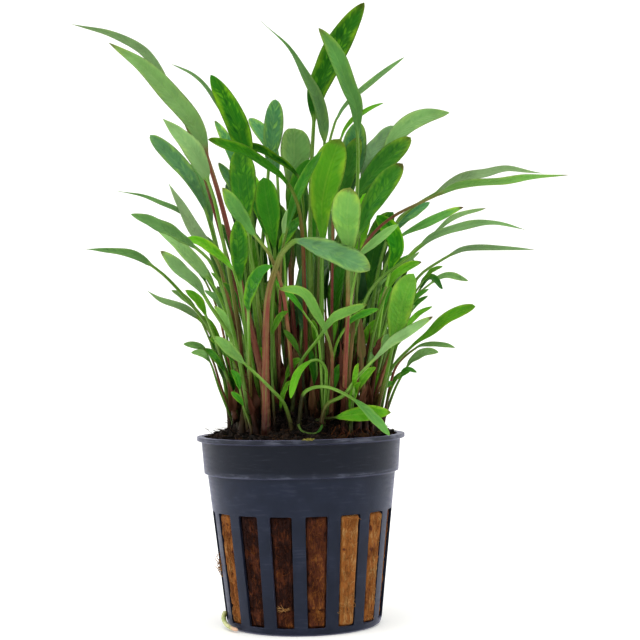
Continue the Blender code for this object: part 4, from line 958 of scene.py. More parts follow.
# Small leaves and leaves behind others, in the same form
moreLeaves = [
    ("slim_top", "leaf_green", 30, 1.3, 0.9, 30, 8, 20,
     [(-6, 51), (-12, 95), (-17, 125), (-25, 140.5), (-29.5, 145.4), (-35.4, 148.4)]),
    ("small_01", "leaf_blue", 15, 3.4, 1.1, 25, 6, 20,
     [(-12, 51), (-15.5, 91), (-17.1, 108.4), (-19.3, 116.1), (-22.9, 122.2)]),
    ("small_02", "leaf_blue", 14, 3.6, 1.1, 30, 8, 20,
     [(17, 51), (20, 88), (24, 103.6), (26.4, 106.8), (33.3, 111.6)]),
    ("small_03", "leaf_green", 10, 2.2, 1.0, 30, -8, -16,
     [(5.5, 51), (8.1, 72.6), (12.3, 80), (16.8, 82.2), (19.7, 83.2)]),
    ("small_04", "leaf_sage", 11, 1.6, 0.9, 30, 2, 8,
     [(20.5, 51), (24, 67.3), (29.8, 73), (33.5, 73.8), (37.8, 73.5), (40, 72.9)]),
    ("small_05", "leaf_bright", 9, 2.6, 1.0, 30, -2, -12,
     [(-16, 51), (-22.9, 72.6), (-26.4, 81.9), (-28.5, 85.6), (-31.7, 88.2)]),
    ("small_06", "leaf_bright", 16, 1.6, 1.0, 35, -2, 6,
     [(7, 51), (7.8, 120.3), (10.2, 129.9), (12.9, 133.6), (15.6, 135.4), (18.4, 137), (21.1, 138.1)]),
    ("small_07", "leaf_green", 8, 1.8, 0.9, 30, -1, 6,
     [(-12, 51), (-20, 76), (-23.2, 85.4), (-26.6, 88.2)]),
    ("small_08", "leaf_bright", 9, 2.3, 0.9, 30, -3, -12,
     [(-13, 51), (-18, 72), (-20.3, 78.7), (-21.9, 81.4), (-24, 84)]),
    ("small_09", "leaf_sage", 9, 1.8, 0.8, 30, 0, 8,
     [(-17, 51), (-24, 72), (-29, 83), (-32.7, 86.7), (-35.4, 88.2)]),
    ("small_10", "leaf_sage", 7, 2.0, 0.8, 30, 0, -6,
     [(-18, 52), (-22, 62), (-24.6, 70), (-27.5, 73), (-32.2, 73.9)]),
    ("small_11", "leaf_sage", 6, 2.0, 0.8, 30, -3, -8,
     [(-18.5, 52), (-22.6, 62), (-25, 69), (-27.3, 71.3), (-30.1, 71.6)]),
    ("small_12", "leaf_green", 7, 1.8, 0.8, 25, 2, 6,
     [(-17, 52), (-21, 64), (-23.6, 71), (-25, 76.6)]),
    ("small_13", "leaf_green", 6, 2.0, 0.8, 25, -12, -16,
     [(-15, 51), (-16.8, 60), (-18, 65), (-19.6, 67)]),
    ("small_14", "leaf_green", 5, 1.8, 0.8, 25, -14, -18,
     [(-14, 51), (-16.5, 58), (-19.5, 61.2)]),
    ("small_15", "leaf_sage", 10, 2.2, 1.6, 20, 0, -2,
     [(-19.5, 52), (-21.1, 63.6), (-22.4, 68.4), (-23.5, 73.9)]),
    ("small_16", "leaf_dark", 12, 3.2, 1.0, 25, 6, 14,
     [(-5, 51), (-8, 75), (-7.8, 93.8), (-5.4, 101.2), (-0.9, 107.9)]),
    ("small_17", "leaf_bright", 8, 2.0, 0.9, 25, 4, 10,
     [(-3, 51), (-5, 90), (-5.6, 104.7), (-3.8, 110.5)]),
    ("small_18", "leaf_dark", 14, 1.6, 0.9, 25, 8, 16,
     [(-4, 51), (-5, 90), (-5.7, 101.2), (-7, 110), (-8.6, 116.6)]),
    ("small_19", "leaf_bright", 8, 1.6, 0.9, 25, 6, 14,
     [(13, 51), (14, 90), (14.9, 106.8), (15.6, 112.6)]),
    ("small_20", "leaf_sage", 7, 1.8, 0.9, 25, 4, 12,
     [(15, 51), (19, 85), (21.5, 95), (23.1, 99.5)]),
    ("small_21", "leaf_dark", 9, 2.6, 0.9, 35, 6, 16,
     [(19, 51), (24, 72), (29, 85), (33, 91.5), (36.7, 88.5)]),
    ("small_22", "leaf_bright", 7, 1.5, 0.8, 30, 2, 8,
     [(18, 51), (23, 72), (28.5, 86), (33.5, 93), (36.7, 94.6)]),
    ("small_23", "leaf_green", 5, 1.4, 0.8, 30, -4, -10,
     [(20, 51), (23, 62), (26.6, 67), (29.8, 66.4)]),
    ("small_24", "leaf_green", 12, 1.7, 0.8, 25, -10, -18,
     [(5, 51), (4.2, 70), (3.3, 76.9), (1.7, 79.5), (-3, 85.9), (-8.2, 91)]),
    ("small_25", "leaf_bright", 8, 1.9, 0.9, 25, -12, -18,
     [(-8, 51), (-8.8, 70), (-8.6, 76.6), (-7.8, 78.7), (-6.2, 81.4), (-4.4, 82.7)]),
    ("small_26", "leaf_bright", 8, 1.8, 0.9, 25, -12, -18,
     [(1, 51), (-0.2, 62), (-0.7, 69.2), (-2, 72.6), (-3.4, 75), (-5.8, 77.9)]),
    ("small_27", "leaf_green", 10, 3.6, 1.0, 25, 3, 10,
     [(14, 51), (17.5, 68), (20, 80), (21.5, 86), (22.6, 90)]),
    ("small_28", "leaf_green", 24, 3.4, 1.0, 35, -7, -24,
     [(-7, 51), (-6.6, 80), (-6.2, 96), (-5.5, 101.1), (-1.9, 113.2), (1.2, 119.6), (4.6, 125.2)]),
    ("broad_01", "leaf_dark", 22, 7.4, 1.3, 12, 0, 3,
     [(-8, 51), (-13, 90), (-15.4, 104), (-16.6, 116), (-17.2, 126)]),
    ("broad_02", "leaf_green", 20, 5.5, 1.2, 20, 12, 20,
     [(-4, 51), (-5, 88), (-4, 104), (-1.5, 116), (1.5, 123)]),
    ("broad_03", "leaf_bright", 18, 5.0, 1.2, 20, 8, 14,
     [(8, 51), (12, 86), (14, 98), (15.6, 108), (16.2, 114)]),
    ("broad_04", "leaf_green", 18, 5.0, 1.2, 20, 14, 22,
     [(1, 51), (1.5, 88), (2.6, 98), (3.6, 106), (4.4, 112)]),
    ("broad_05", "leaf_dark", 20, 5.0, 1.2, 20, 14, 24,
     [(-1, 51), (-7, 88), (-10, 102), (-13, 113), (-16.5, 121)]),
    ("broad_06", "leaf_green", 20, 5.5, 1.2, 20, 15, 26,
     [(4, 51), (8, 92), (9.6, 108), (11.6, 120), (14.4, 129)]),
    # Old crowns, and the loose curl of a stalk at the front
    ("crown_01", "old_sheath", 6, 2.4, 2.0, 10, -13, -14,
     [(2.6, 50.5), (3.0, 53), (3.3, 55.5), (3.0, 57.6)]),
    ("crown_02", "old_sheath", 5, 2.2, 1.9, 20, -12, -13, [(4.6, 50.5), (5.6, 53), (6.8, 55), (7.8, 56.4)]),
    ("crown_03", "old_sheath", 8, 2.6, 2.2, 15, -12, -12,
     [(-7.6, 50.5), (-8.2, 56), (-8.0, 60), (-8.4, 64)]),
    ("crown_04", "old_sheath", 8, 2.4, 2.0, 15, -10, -11, [(14, 50.5), (14.6, 55), (15.6, 60), (17, 64)]),
    ("crown_05", "old_sheath", 9, 2.4, 2.0, 15, -7, -8,
     [(-17.6, 50.5), (-18.6, 55), (-19.4, 60), (-20.6, 65)]),
    ("crown_06", "old_sheath", 9, 2.4, 2.0, 15, -9, -10, [(-12, 50.5), (-12.6, 55), (-13.4, 60), (-14, 66)]),
    ("loop_01", "leaf_green", 3, 0.7, 0.6, 10, -21, -21,
     [(-1.7, 52.6), (-0.9, 51.0), (0.6, 50.3), (2.7, 50.2), (4.0, 51.0), (4.8, 52.6)]),
]


# Leaves and old sheaths that fill the clump, drawn by seed. Ranges run from first to second value:
# across and depth of the foot, across and height of the tip, and how much deeper the tip lies
# A group's tone darkens its leaves in the middle of the clump and behind it, as painted shade
fillGroups = {
    "middle": {
        "count": 30, "foot": (-15, 15), "depth": (4, 19), "tip": (-24, 26), "height": (78, 128),
        "back": (4, 22), "blade": (12, 24), "width": (3.0, 6.5), "stalk": (1.0, 1.4), "bow": 0.3,
        "tone": 0.72, "finishes": ("leaf_green", "leaf_dark", "leaf_green", "leaf_blue", "leaf_bright")},
    "front": {
        "count": 12, "foot": (-15, 16), "depth": (-14, 0), "tip": (-16, 22), "height": (60, 84),
        "back": (-12, 2), "blade": (7, 13), "width": (1.4, 2.6), "stalk": (0.8, 1.1), "bow": 0.35,
        "finishes": ("leaf_bright", "leaf_green")},
    "left": {
        "count": 14, "foot": (-19, -10), "depth": (-9, 12), "tip": (-32, -19), "height": (60, 98),
        "back": (-6, 10), "blade": (7, 13), "width": (1.4, 2.8), "stalk": (0.8, 1.1), "bow": 0.5,
        "finishes": ("leaf_sage", "leaf_green", "leaf_bright")},
    "right": {
        "count": 20, "foot": (10, 19.5), "depth": (-9, 12), "tip": (19, 34), "height": (60, 100),
        "back": (-6, 10), "blade": (7, 14), "width": (1.3, 2.8), "stalk": (0.8, 1.1), "bow": 0.5,
        "finishes": ("leaf_sage", "leaf_green", "leaf_bright")},
    "behind": {
        "count": 60, "foot": (-18, 18), "depth": (10, 20), "tip": (-27, 29), "height": (66, 112),
        "back": (10, 24), "blade": (10, 20), "width": (2.0, 4.2), "stalk": (0.9, 1.3), "bow": 0.4,
        "tone": 0.7, "finishes": ("leaf_green", "leaf_sage", "leaf_dark", "leaf_bright")},
    "sheath": {
        "count": 80, "foot": (-18, 18), "depth": (-12, 18), "tip": (-20, 21), "height": (57, 86),
        "back": (-3, 3), "blade": (6, 16), "width": (1.8, 3.2), "stalk": (1.3, 2.0), "bow": 0.1,
        "finishes": ("old_sheath",)},
}

# Stalks rise in tufts from a few crowns, at these places across the clump
crownPlaces = (-17.5, -13, -8, -3.5, 1.5, 6.5, 11.5, 16.5)

# Stalks that stand clear at the front, with no leaf drawn by seed across them
clearStalks = ("leaf_left_01", "leaf_front_05", "leaf_front_04", "leaf_front_06")


def smoothPath(points, steps=14):
    rows = np.array(points, dtype=float)
    ends = np.vstack([2 * rows[0] - rows[1], rows, 2 * rows[-1] - rows[-2]])
    curve = []
    for p0, p1, p2, p3 in zip(ends, ends[1:], ends[2:], ends[3:]):
        lead = (p2 - p0) / 2 * min(1, 2 * np.linalg.norm(p2 - p1) / np.linalg.norm(p2 - p0))
        trail = (p3 - p1) / 2 * min(1, 2 * np.linalg.norm(p2 - p1) / np.linalg.norm(p3 - p1))
        for t in np.arange(steps) / steps:
            curve.append((2 * t ** 3 - 3 * t ** 2 + 1) * p1 + (t ** 3 - 2 * t ** 2 + t) * lead
                         + (3 * t ** 2 - 2 * t ** 3) * p2 + (t ** 3 - t ** 2) * trail)
    curve = np.array(curve + [rows[-1]])
    length = np.concatenate([[0], np.cumsum(np.linalg.norm(np.diff(curve, axis=0), axis=1))])
    return curve, length


def depthBehind(path, depth):
    # how deep a leaf has to start to pass behind the stalks that stand clear
    curve = smoothPath(path, 6)[0]
    for row in frameLeaves:
        if row[0] in clearStalks:
            line, length = smoothPath(row[8], 6)
            line = line[length < length[-1] - row[2]]
            apart = np.linalg.norm(curve[:, None] - line[None], axis=2)
            if apart.min() < 1.8:
                depth = max(depth, row[6] + 5)
    return depth


def fillRows():
    # the tip leans the way its foot stands off the middle, so that the clump fans out
    dice = random.Random(23)
    ground = leafForm["peatZ"]
    rows = []
    for group, g in fillGroups.items():
        (footLow, footHigh), (tipLow, tipHigh) = g["foot"], g["tip"]
        for i in range(g["count"]):
            share = (i + dice.random()) / g["count"]
            foot = footLow + (footHigh - footLow) * share
            tip = tipLow + (tipHigh - tipLow) * min(1, max(0, share + dice.uniform(-0.12, 0.12)))
            height = dice.uniform(*g["height"])
            if group != "middle":
                tip = max(tip, -19 - 0.9 * max(0, height - 64))
                tip = min(tip, 24 + 0.6 * max(0, height - 60))
            nearest = min(crownPlaces, key=lambda place: abs(place - foot))
            foot = nearest + 0.45 * (foot - nearest)
            if group == "front" and -7.5 < foot < 2.5:
                foot = -8.5 if foot < -2.5 else 4.0
            if group in ("middle", "behind"):
                height -= 0.25 * abs(tip) * (height - 60) / 50
            over, up, bow = tip - foot, height - ground, g["bow"] * (tip - foot)
            blade = min(dice.uniform(*g["blade"]), 0.6 * up)
            path = [(foot, ground + 0.5), (foot + 0.28 * over - 0.3 * bow, ground + 0.36 * up),
                    (foot + 0.6 * over - 0.4 * bow, ground + 0.72 * up),
                    (tip - 0.25 * over, ground + 0.93 * up), (tip, height)]
            limit = math.sqrt(max(leafForm["rootLimit"] ** 2 - (foot + 1) ** 2, 1))
            depth = min(limit, max(-limit, depthBehind(path, dice.uniform(*g["depth"]))))
            rows.append((f"{group}_{i + 1:02d}", dice.choice(g["finishes"]), blade,
                         dice.uniform(*g["width"]), dice.uniform(*g["stalk"]), dice.uniform(15, 45), depth,
                         depth + dice.uniform(*g["back"]), path))
    return rows


def leafStations(row):
    # where the stations of a leaf lie as seen from the front, and how deep each is at first
    path, blade, footDepth, tipDepth = row[8], row[2], row[6], row[7]
    curve, length = smoothPath(path)
    stalk = length[-1] - blade
    marks = np.concatenate([np.linspace(0, stalk, leafForm["stalkSteps"] + 1),
                            stalk + np.linspace(0, blade, leafForm["bladeSteps"] + 1)[1:]])
    seen = np.column_stack([np.interp(marks, length, curve[:, axis]) for axis in (0, 1)])
    depth = footDepth + (tipDepth - footDepth) * (marks / length[-1]) ** 1.4
    return seen, depth


def bladeShare(t):
    # how wide a blade of the frame is along its length, 1 at the widest
    return (t ** 0.95 * (1 - t) ** 0.72) / 0.3257


def bladeOutline(row, t):
    # broad leaves have a blunt tip, and some hold their width near the tip and taper long to the stalk
    usual = (0.25, 1.5) if row[1] == "old_sheath" else (1.05, 0.6) if row[3] > 4.5 else (0.95, 0.72)
    traits = traitsOf(row)
    grow, fall = traits.get("outline", usual)
    peak = grow / (grow + fall)
    return traits.get("slim", 1.0) * t ** grow * (1 - t) ** fall / (peak ** grow * (1 - peak) ** fall)


def leafWidths(row):
    # width and thickness of a frame leaf at its stations
    p, stalkSteps = leafForm, leafForm["stalkSteps"]
    bladeWidth, stalkWidth = row[3], row[4]
    top = stalkWidth * (1 - p["taper"])
    wide, thick = [], []
    for k in range(stationCount):
        if k <= stalkSteps:
            wide.append(stalkWidth * (1 - p["taper"] * k / stalkSteps))
            thick.append(wide[-1] * 0.9)
        else:
            t = (k - stalkSteps) / p["bladeSteps"]
            wide.append(math.hypot(top * (1 - t), bladeWidth * bladeShare(t)))
            thin = p["thickness"] + (p["tipThickness"] - p["thickness"]) * t
            thick.append(max(thin, top * 0.9 * (1 - 4 * t)))
    return np.array(wide), np.array(thick)


def crossingPlaces(rows, seen, firstFree, parts):
    # pairs of places on two leaves that cross as seen from the front, with the depth they need
    marks = np.arange((stationCount - 1) * parts + 1) / parts
    low = np.minimum(marks.astype(int), stationCount - 2)
    share = marks - low
    onStalk = np.arange(stationCount) <= leafForm["stalkSteps"]
    spots, halfSeen, halfDeep = [], [], []
    for row, path in zip(rows, seen):
        spots.append(path[low] * (1 - share[:, None]) + path[low + 1] * share[:, None])
        wide, thick = leafWidths(row)
        roll = math.radians(row[5])
        across = np.where(onStalk, wide, wide * abs(math.cos(roll)))
        deep = np.where(onStalk, wide, thick + wide * abs(math.sin(roll)))
        halfSeen.append(np.interp(marks, range(stationCount), across / 2))
        halfDeep.append(np.interp(marks, range(stationCount), deep / 2))
    found = []
    for a in range(len(rows)):
        for b in range(max(a + 1, firstFree), len(rows)):
            apart = np.linalg.norm(spots[a][:, None] - spots[b][None], axis=2)
            reach = halfSeen[a][:, None] + halfSeen[b][None] + leafForm["clearance"]
            i, j = np.nonzero(apart < reach)
            need = halfDeep[a][i] + halfDeep[b][j] + leafForm["clearance"]
            need = need * (1 - (apart[i, j] / reach[i, j]) ** 4) ** 0.25
            found.append(np.column_stack([np.full(len(i), a), low[i], share[i],
                                          np.full(len(i), b), low[j], share[j], need]))
    return np.vstack(found)


def makeRoom(rows, seen, depth, firstFree=0, rounds=400, parts=5):
    # slides leaves that cross apart in depth until each has room; rows before firstFree stay put
    a, ka, wa, b, kb, wb, need = crossingPlaces(rows, seen, firstFree, parts).T
    a, ka, b, kb = (column.astype(int) for column in (a, ka, b, kb))
    depth = depth.copy()
    stalkEnd = leafForm["stalkSteps"] + 1
    footX = seen[:, 0, 0] + leafForm["lean"] * seen[:, 0, 1]
    limit = np.sqrt(np.maximum(leafForm["rootLimit"] ** 2 - footX ** 2, 1))
    fade = np.linspace(1, 0, stalkEnd) ** 2
    for _ in range(rounds):
        near = depth[a, ka] * (1 - wa) + depth[a, ka + 1] * wa
        far = depth[b, kb] * (1 - wb) + depth[b, kb + 1] * wb
        between = near - far
        short = np.maximum(0, need - np.abs(between))
        if short.max() < 0.02:
            break
        move = short / 2 * np.where(between < 0, -1, 1)
        push = np.zeros(depth.size)
        count = np.zeros(depth.size)
        hit = move != 0
        for leaf, k, share, sign in ((a, ka, wa, 1), (b, kb, wb, -1)):
            for step, weight in ((0, 1 - share), (1, share)):
                spot = (leaf * stationCount + k + step)[hit]
                push += np.bincount(spot, sign * move[hit] * weight[hit], depth.size)
                count += np.bincount(spot, weight[hit], depth.size)
        push = (push / np.maximum(count, 1)).reshape(depth.shape)
        # a leaf bends smoothly, so each push is shared with the stations beside it
        for _ in range(5):
            padded = np.pad(push, ((0, 0), (1, 1)), mode="edge")
            push = (padded[:, :-2] + 2 * padded[:, 1:-1] + padded[:, 2:]) / 4
        push[:firstFree] = 0
        depth += push
        over = depth[:, 0] - np.clip(depth[:, 0], -limit, limit)
        over[:firstFree] = 0
        depth[:, :stalkEnd] -= over[:, None] * fade
    return depth


def placeInSpace(across, up, depth):
    # a place seen from the front, put at its depth along the line of sight
    eyeX, eyeZ = leafForm["eyeX"], leafForm["eyeZ"]
    x = across + leafForm["lean"] * up
    z = up - leafForm["lean"] * across
    scale = 1 + depth / leafForm["eyeDistance"]
    return eyeX + (x - eyeX) * scale, depth, eyeZ + (z - eyeZ) * scale


# How single leaves differ from the rest: brightness, which is partly painted light and shade, blush of the
# stalk, burnt tip, mottle, pale grey film, how wet the foot is and how much painted shade it takes, the
# powers of the outline towards the stalk and towards the tip, and how slim it is
leafTraits = {
    "broad_01": {"tone": 1.18}, "broad_02": {"pale": -0.5, "tone": 0.81}, "broad_03": {"tone": 1.7},
    "broad_04": {"tone": 1.46}, "broad_05": {"tone": 1.8}, "broad_06": {"tone": 0.77},
    "leaf_front_01": {"blush": 0.0, "tone": 1.21},
    "leaf_front_02": {"blush": 0.0, "pale": 0.2, "tone": 1.2, "wetnessAndShade": -1.0},
    "leaf_front_03": {"blush": 0.0, "tone": 1.09, "wetnessAndShade": 0.6},
    "leaf_front_04": {"pale": 0.25, "tone": 1.1, "wetnessAndShade": 0.6},
    "leaf_front_05": {"blush": 0.72, "burn": 0.3, "mottle": 0.6, "pale": 0.2, "tone": 1.12},
    "leaf_front_06": {"burn": 0.6, "pale": 0.25, "tone": 1.06}, "leaf_front_07": {"tone": 1.19},
    "leaf_left_01": {"blush": 0.95, "burn": 0.6, "outline": (0.65, 0.9), "pale": 0.45, "tone": 0.87},
    "leaf_left_02": {"outline": (0.75, 1.05), "pale": 0.3, "tone": 0.73},
    "leaf_left_03": {"outline": (0.75, 1.0), "pale": 0.3, "tone": 1.12},
    "leaf_left_04": {"mottle": 0.7, "pale": 0.12, "tone": 1.05},
    "leaf_left_05": {"mottle": 0.6, "pale": 0.2, "tone": 1.26},
    "leaf_left_06": {"outline": (0.6, 1.1), "pale": 0.75, "tone": 0.97},
    "leaf_left_07": {"mottle": 0.5, "outline": (0.9, 0.75), "pale": 0.3, "tone": 0.97},
    "leaf_left_08": {"burn": 0.3, "outline": (0.6, 1.1), "pale": 0.25, "tone": 1.35},
    "leaf_left_09": {"burn": 0.7, "tone": 1.26},
    "leaf_left_10": {"outline": (0.6, 1.3), "pale": 0.3, "tone": 0.85},
    "leaf_left_11": {"burn": 0.7, "pale": 0.5, "tone": 1.18},
    "leaf_left_12": {"outline": (0.7, 1.2), "pale": 0.3, "tone": 0.9},
    "leaf_left_13": {"outline": (0.6, 1.3), "pale": 0.3, "tone": 0.85},
    "leaf_left_14": {"blush": 0.2, "burn": 0.3, "pale": 0.35, "tone": 1.1, "wetnessAndShade": 0.7},
    "leaf_middle_01": {"mottle": 0.85, "outline": (0.85, 0.7), "pale": -0.6, "tone": 1.06},
    "leaf_middle_02": {"burn": 0.35, "pale": -1, "tone": 0.8}, "leaf_middle_03": {"pale": -1, "tone": 0.62},
    "leaf_middle_04": {"mottle": 1.0, "tone": 1.1}, "leaf_middle_05": {"tone": 1.28},
    "leaf_middle_06": {"outline": (1.1, 0.45), "tone": 0.96},
    "leaf_middle_07": {"pale": -0.5, "tone": 1.35},
    "leaf_middle_08": {"mottle": 0.2, "pale": 0.2, "tone": 1.35}, "leaf_middle_09": {"tone": 1.07},
    "leaf_middle_10": {"mottle": 0.2, "outline": (1.25, 0.55), "pale": -0.6, "tone": 0.88},
    "leaf_middle_11": {"mottle": 0.85, "outline": (0.8, 0.72), "pale": -0.6, "tone": 0.77},
    "leaf_middle_12": {"mottle": 0.2, "outline": (1.0, 0.75), "pale": 0.2, "tone": 0.97},
    "leaf_middle_13": {"outline": (0.6, 2.0), "pale": 0.3, "tone": 0.75},
    "leaf_middle_14": {"pale": 0.35, "tone": 0.95},
    "leaf_middle_15": {"outline": (0.95, 0.85), "pale": 0.1, "tone": 1.02}, "leaf_middle_16": {"pale": 0.4},
    "leaf_middle_17": {"mottle": 0.6, "pale": -0.5, "tone": 0.81},
    "leaf_middle_18": {"burn": 0.5, "outline": (1.5, 0.6), "tone": 0.94},
    "leaf_middle_19": {"burn": 0.6, "mottle": 0.6, "outline": (1.25, 0.5), "pale": 0.3, "tone": 1.24},
    "leaf_middle_20": {"burn": 0.4, "mottle": 0.9, "tone": 0.84},
    "leaf_middle_21": {"burn": 0.8, "mottle": 0.9, "tone": 0.88},
    "leaf_right_01": {"outline": (0.6, 1.1), "pale": 0.5, "slim": 0.85, "tone": 0.82},
    "leaf_right_02": {"blush": 0.8, "burn": 0.7, "outline": (0.6, 1.0), "pale": 0.25, "slim": 0.8,
                      "tone": 0.92},
    "leaf_right_03": {"burn": 1.0, "pale": 0.15, "tone": 1.28},
    "leaf_right_04": {"pale": 0.25, "tone": 0.9},
    "leaf_right_05": {"outline": (0.6, 1.1), "pale": 0.45, "slim": 0.74, "tone": 0.95},
    "leaf_right_06": {"burn": 0.4, "outline": (0.6, 1.0), "pale": 0.55, "slim": 0.9, "tone": 0.86},
    "leaf_right_07": {"tone": 0.96}, "leaf_right_08": {"burn": 0.8, "tone": 1.02},
    "leaf_right_09": {"pale": 0.12}, "leaf_right_10": {"mottle": 0.7, "pale": -0.6, "tone": 1.8},
    "leaf_right_11": {"tone": 1.35}, "leaf_right_12": {"outline": (1.3, 0.5), "tone": 0.84},
    "leaf_right_13": {"burn": 0.9, "pale": 0.3, "slim": 0.9, "tone": 1.3},
    "loop_01": {"blush": 0.0, "loose": True, "tone": 0.5, "wetnessAndShade": 0.0},
    "slim_top": {"pale": 0.4, "tone": 0.8}, "small_02": {"tone": 1.23}, "small_03": {"tone": 1.35},
    "small_04": {"tone": 0.85}, "small_06": {"tone": 0.95}, "small_07": {"pale": 0.35, "tone": 1.1},
    "small_08": {"pale": 0.4, "tone": 1.6}, "small_09": {"tone": 0.78}, "small_13": {"tone": 1.5},
    "small_14": {"tone": 1.5}, "small_16": {"tone": 1.05}, "small_17": {"pale": 0.6, "tone": 1.33},
    "small_18": {"pale": -0.6, "tone": 0.5}, "small_20": {"tone": 0.41}, "small_21": {"tone": 0.7},
    "small_22": {"tone": 0.84}, "small_24": {"tone": 1.65}, "small_25": {"tone": 0.63},
    "small_26": {"tone": 0.4}, "small_27": {"tone": 1.7},
}


def traitsOf(row):
    # a leaf drawn by seed takes the traits of its group
    return leafTraits.get(row[0], fillGroups.get(row[0][:-3], {}))


# Colours of a blade, as sRGB: the net of veins, darker and brighter cells between them, margin, midrib and
# underside, and how strong the cells show
leafLooks = {
    "leaf_bright": {"blade": "549417", "deep": "3d8a1a", "cell": "6ea826", "margin": "8ab02a",
                    "rib": "80a83c", "under": "84a84e", "mottle": 0.4},
    "leaf_green": {"blade": "367a1a", "deep": "1b6418", "cell": "569422", "margin": "6a9c22",
                   "rib": "5f9236", "under": "668f42", "mottle": 0.4},
    "leaf_dark": {"blade": "2b6c16", "deep": "145214", "cell": "5c9a20", "margin": "7aa81e", "rib": "3c7818",
                  "under": "567f38", "mottle": 0.55},
    "leaf_sage": {"blade": "699451", "deep": "4f8240", "cell": "7fa858", "margin": "8cac58", "rib": "88a662",
                  "under": "84a26a", "mottle": 0.35},
    "leaf_blue": {"blade": "457b4a", "deep": "27603c", "cell": "6fa04e", "margin": "7fa63e", "rib": "6c9258",
                  "under": "6c8d62", "mottle": 0.5},
}
# foot: near-black of the wet foot, also laid on as painted shade at the base of the clump
stalkLooks = {"green": "5f8c2c", "paleGreen": "84a656", "red": "85443e", "brown": "55391f", "foot": "26150e",
              "burn": "4a2f1c", "yellow": "a9bd33", "film": "93ab80"}


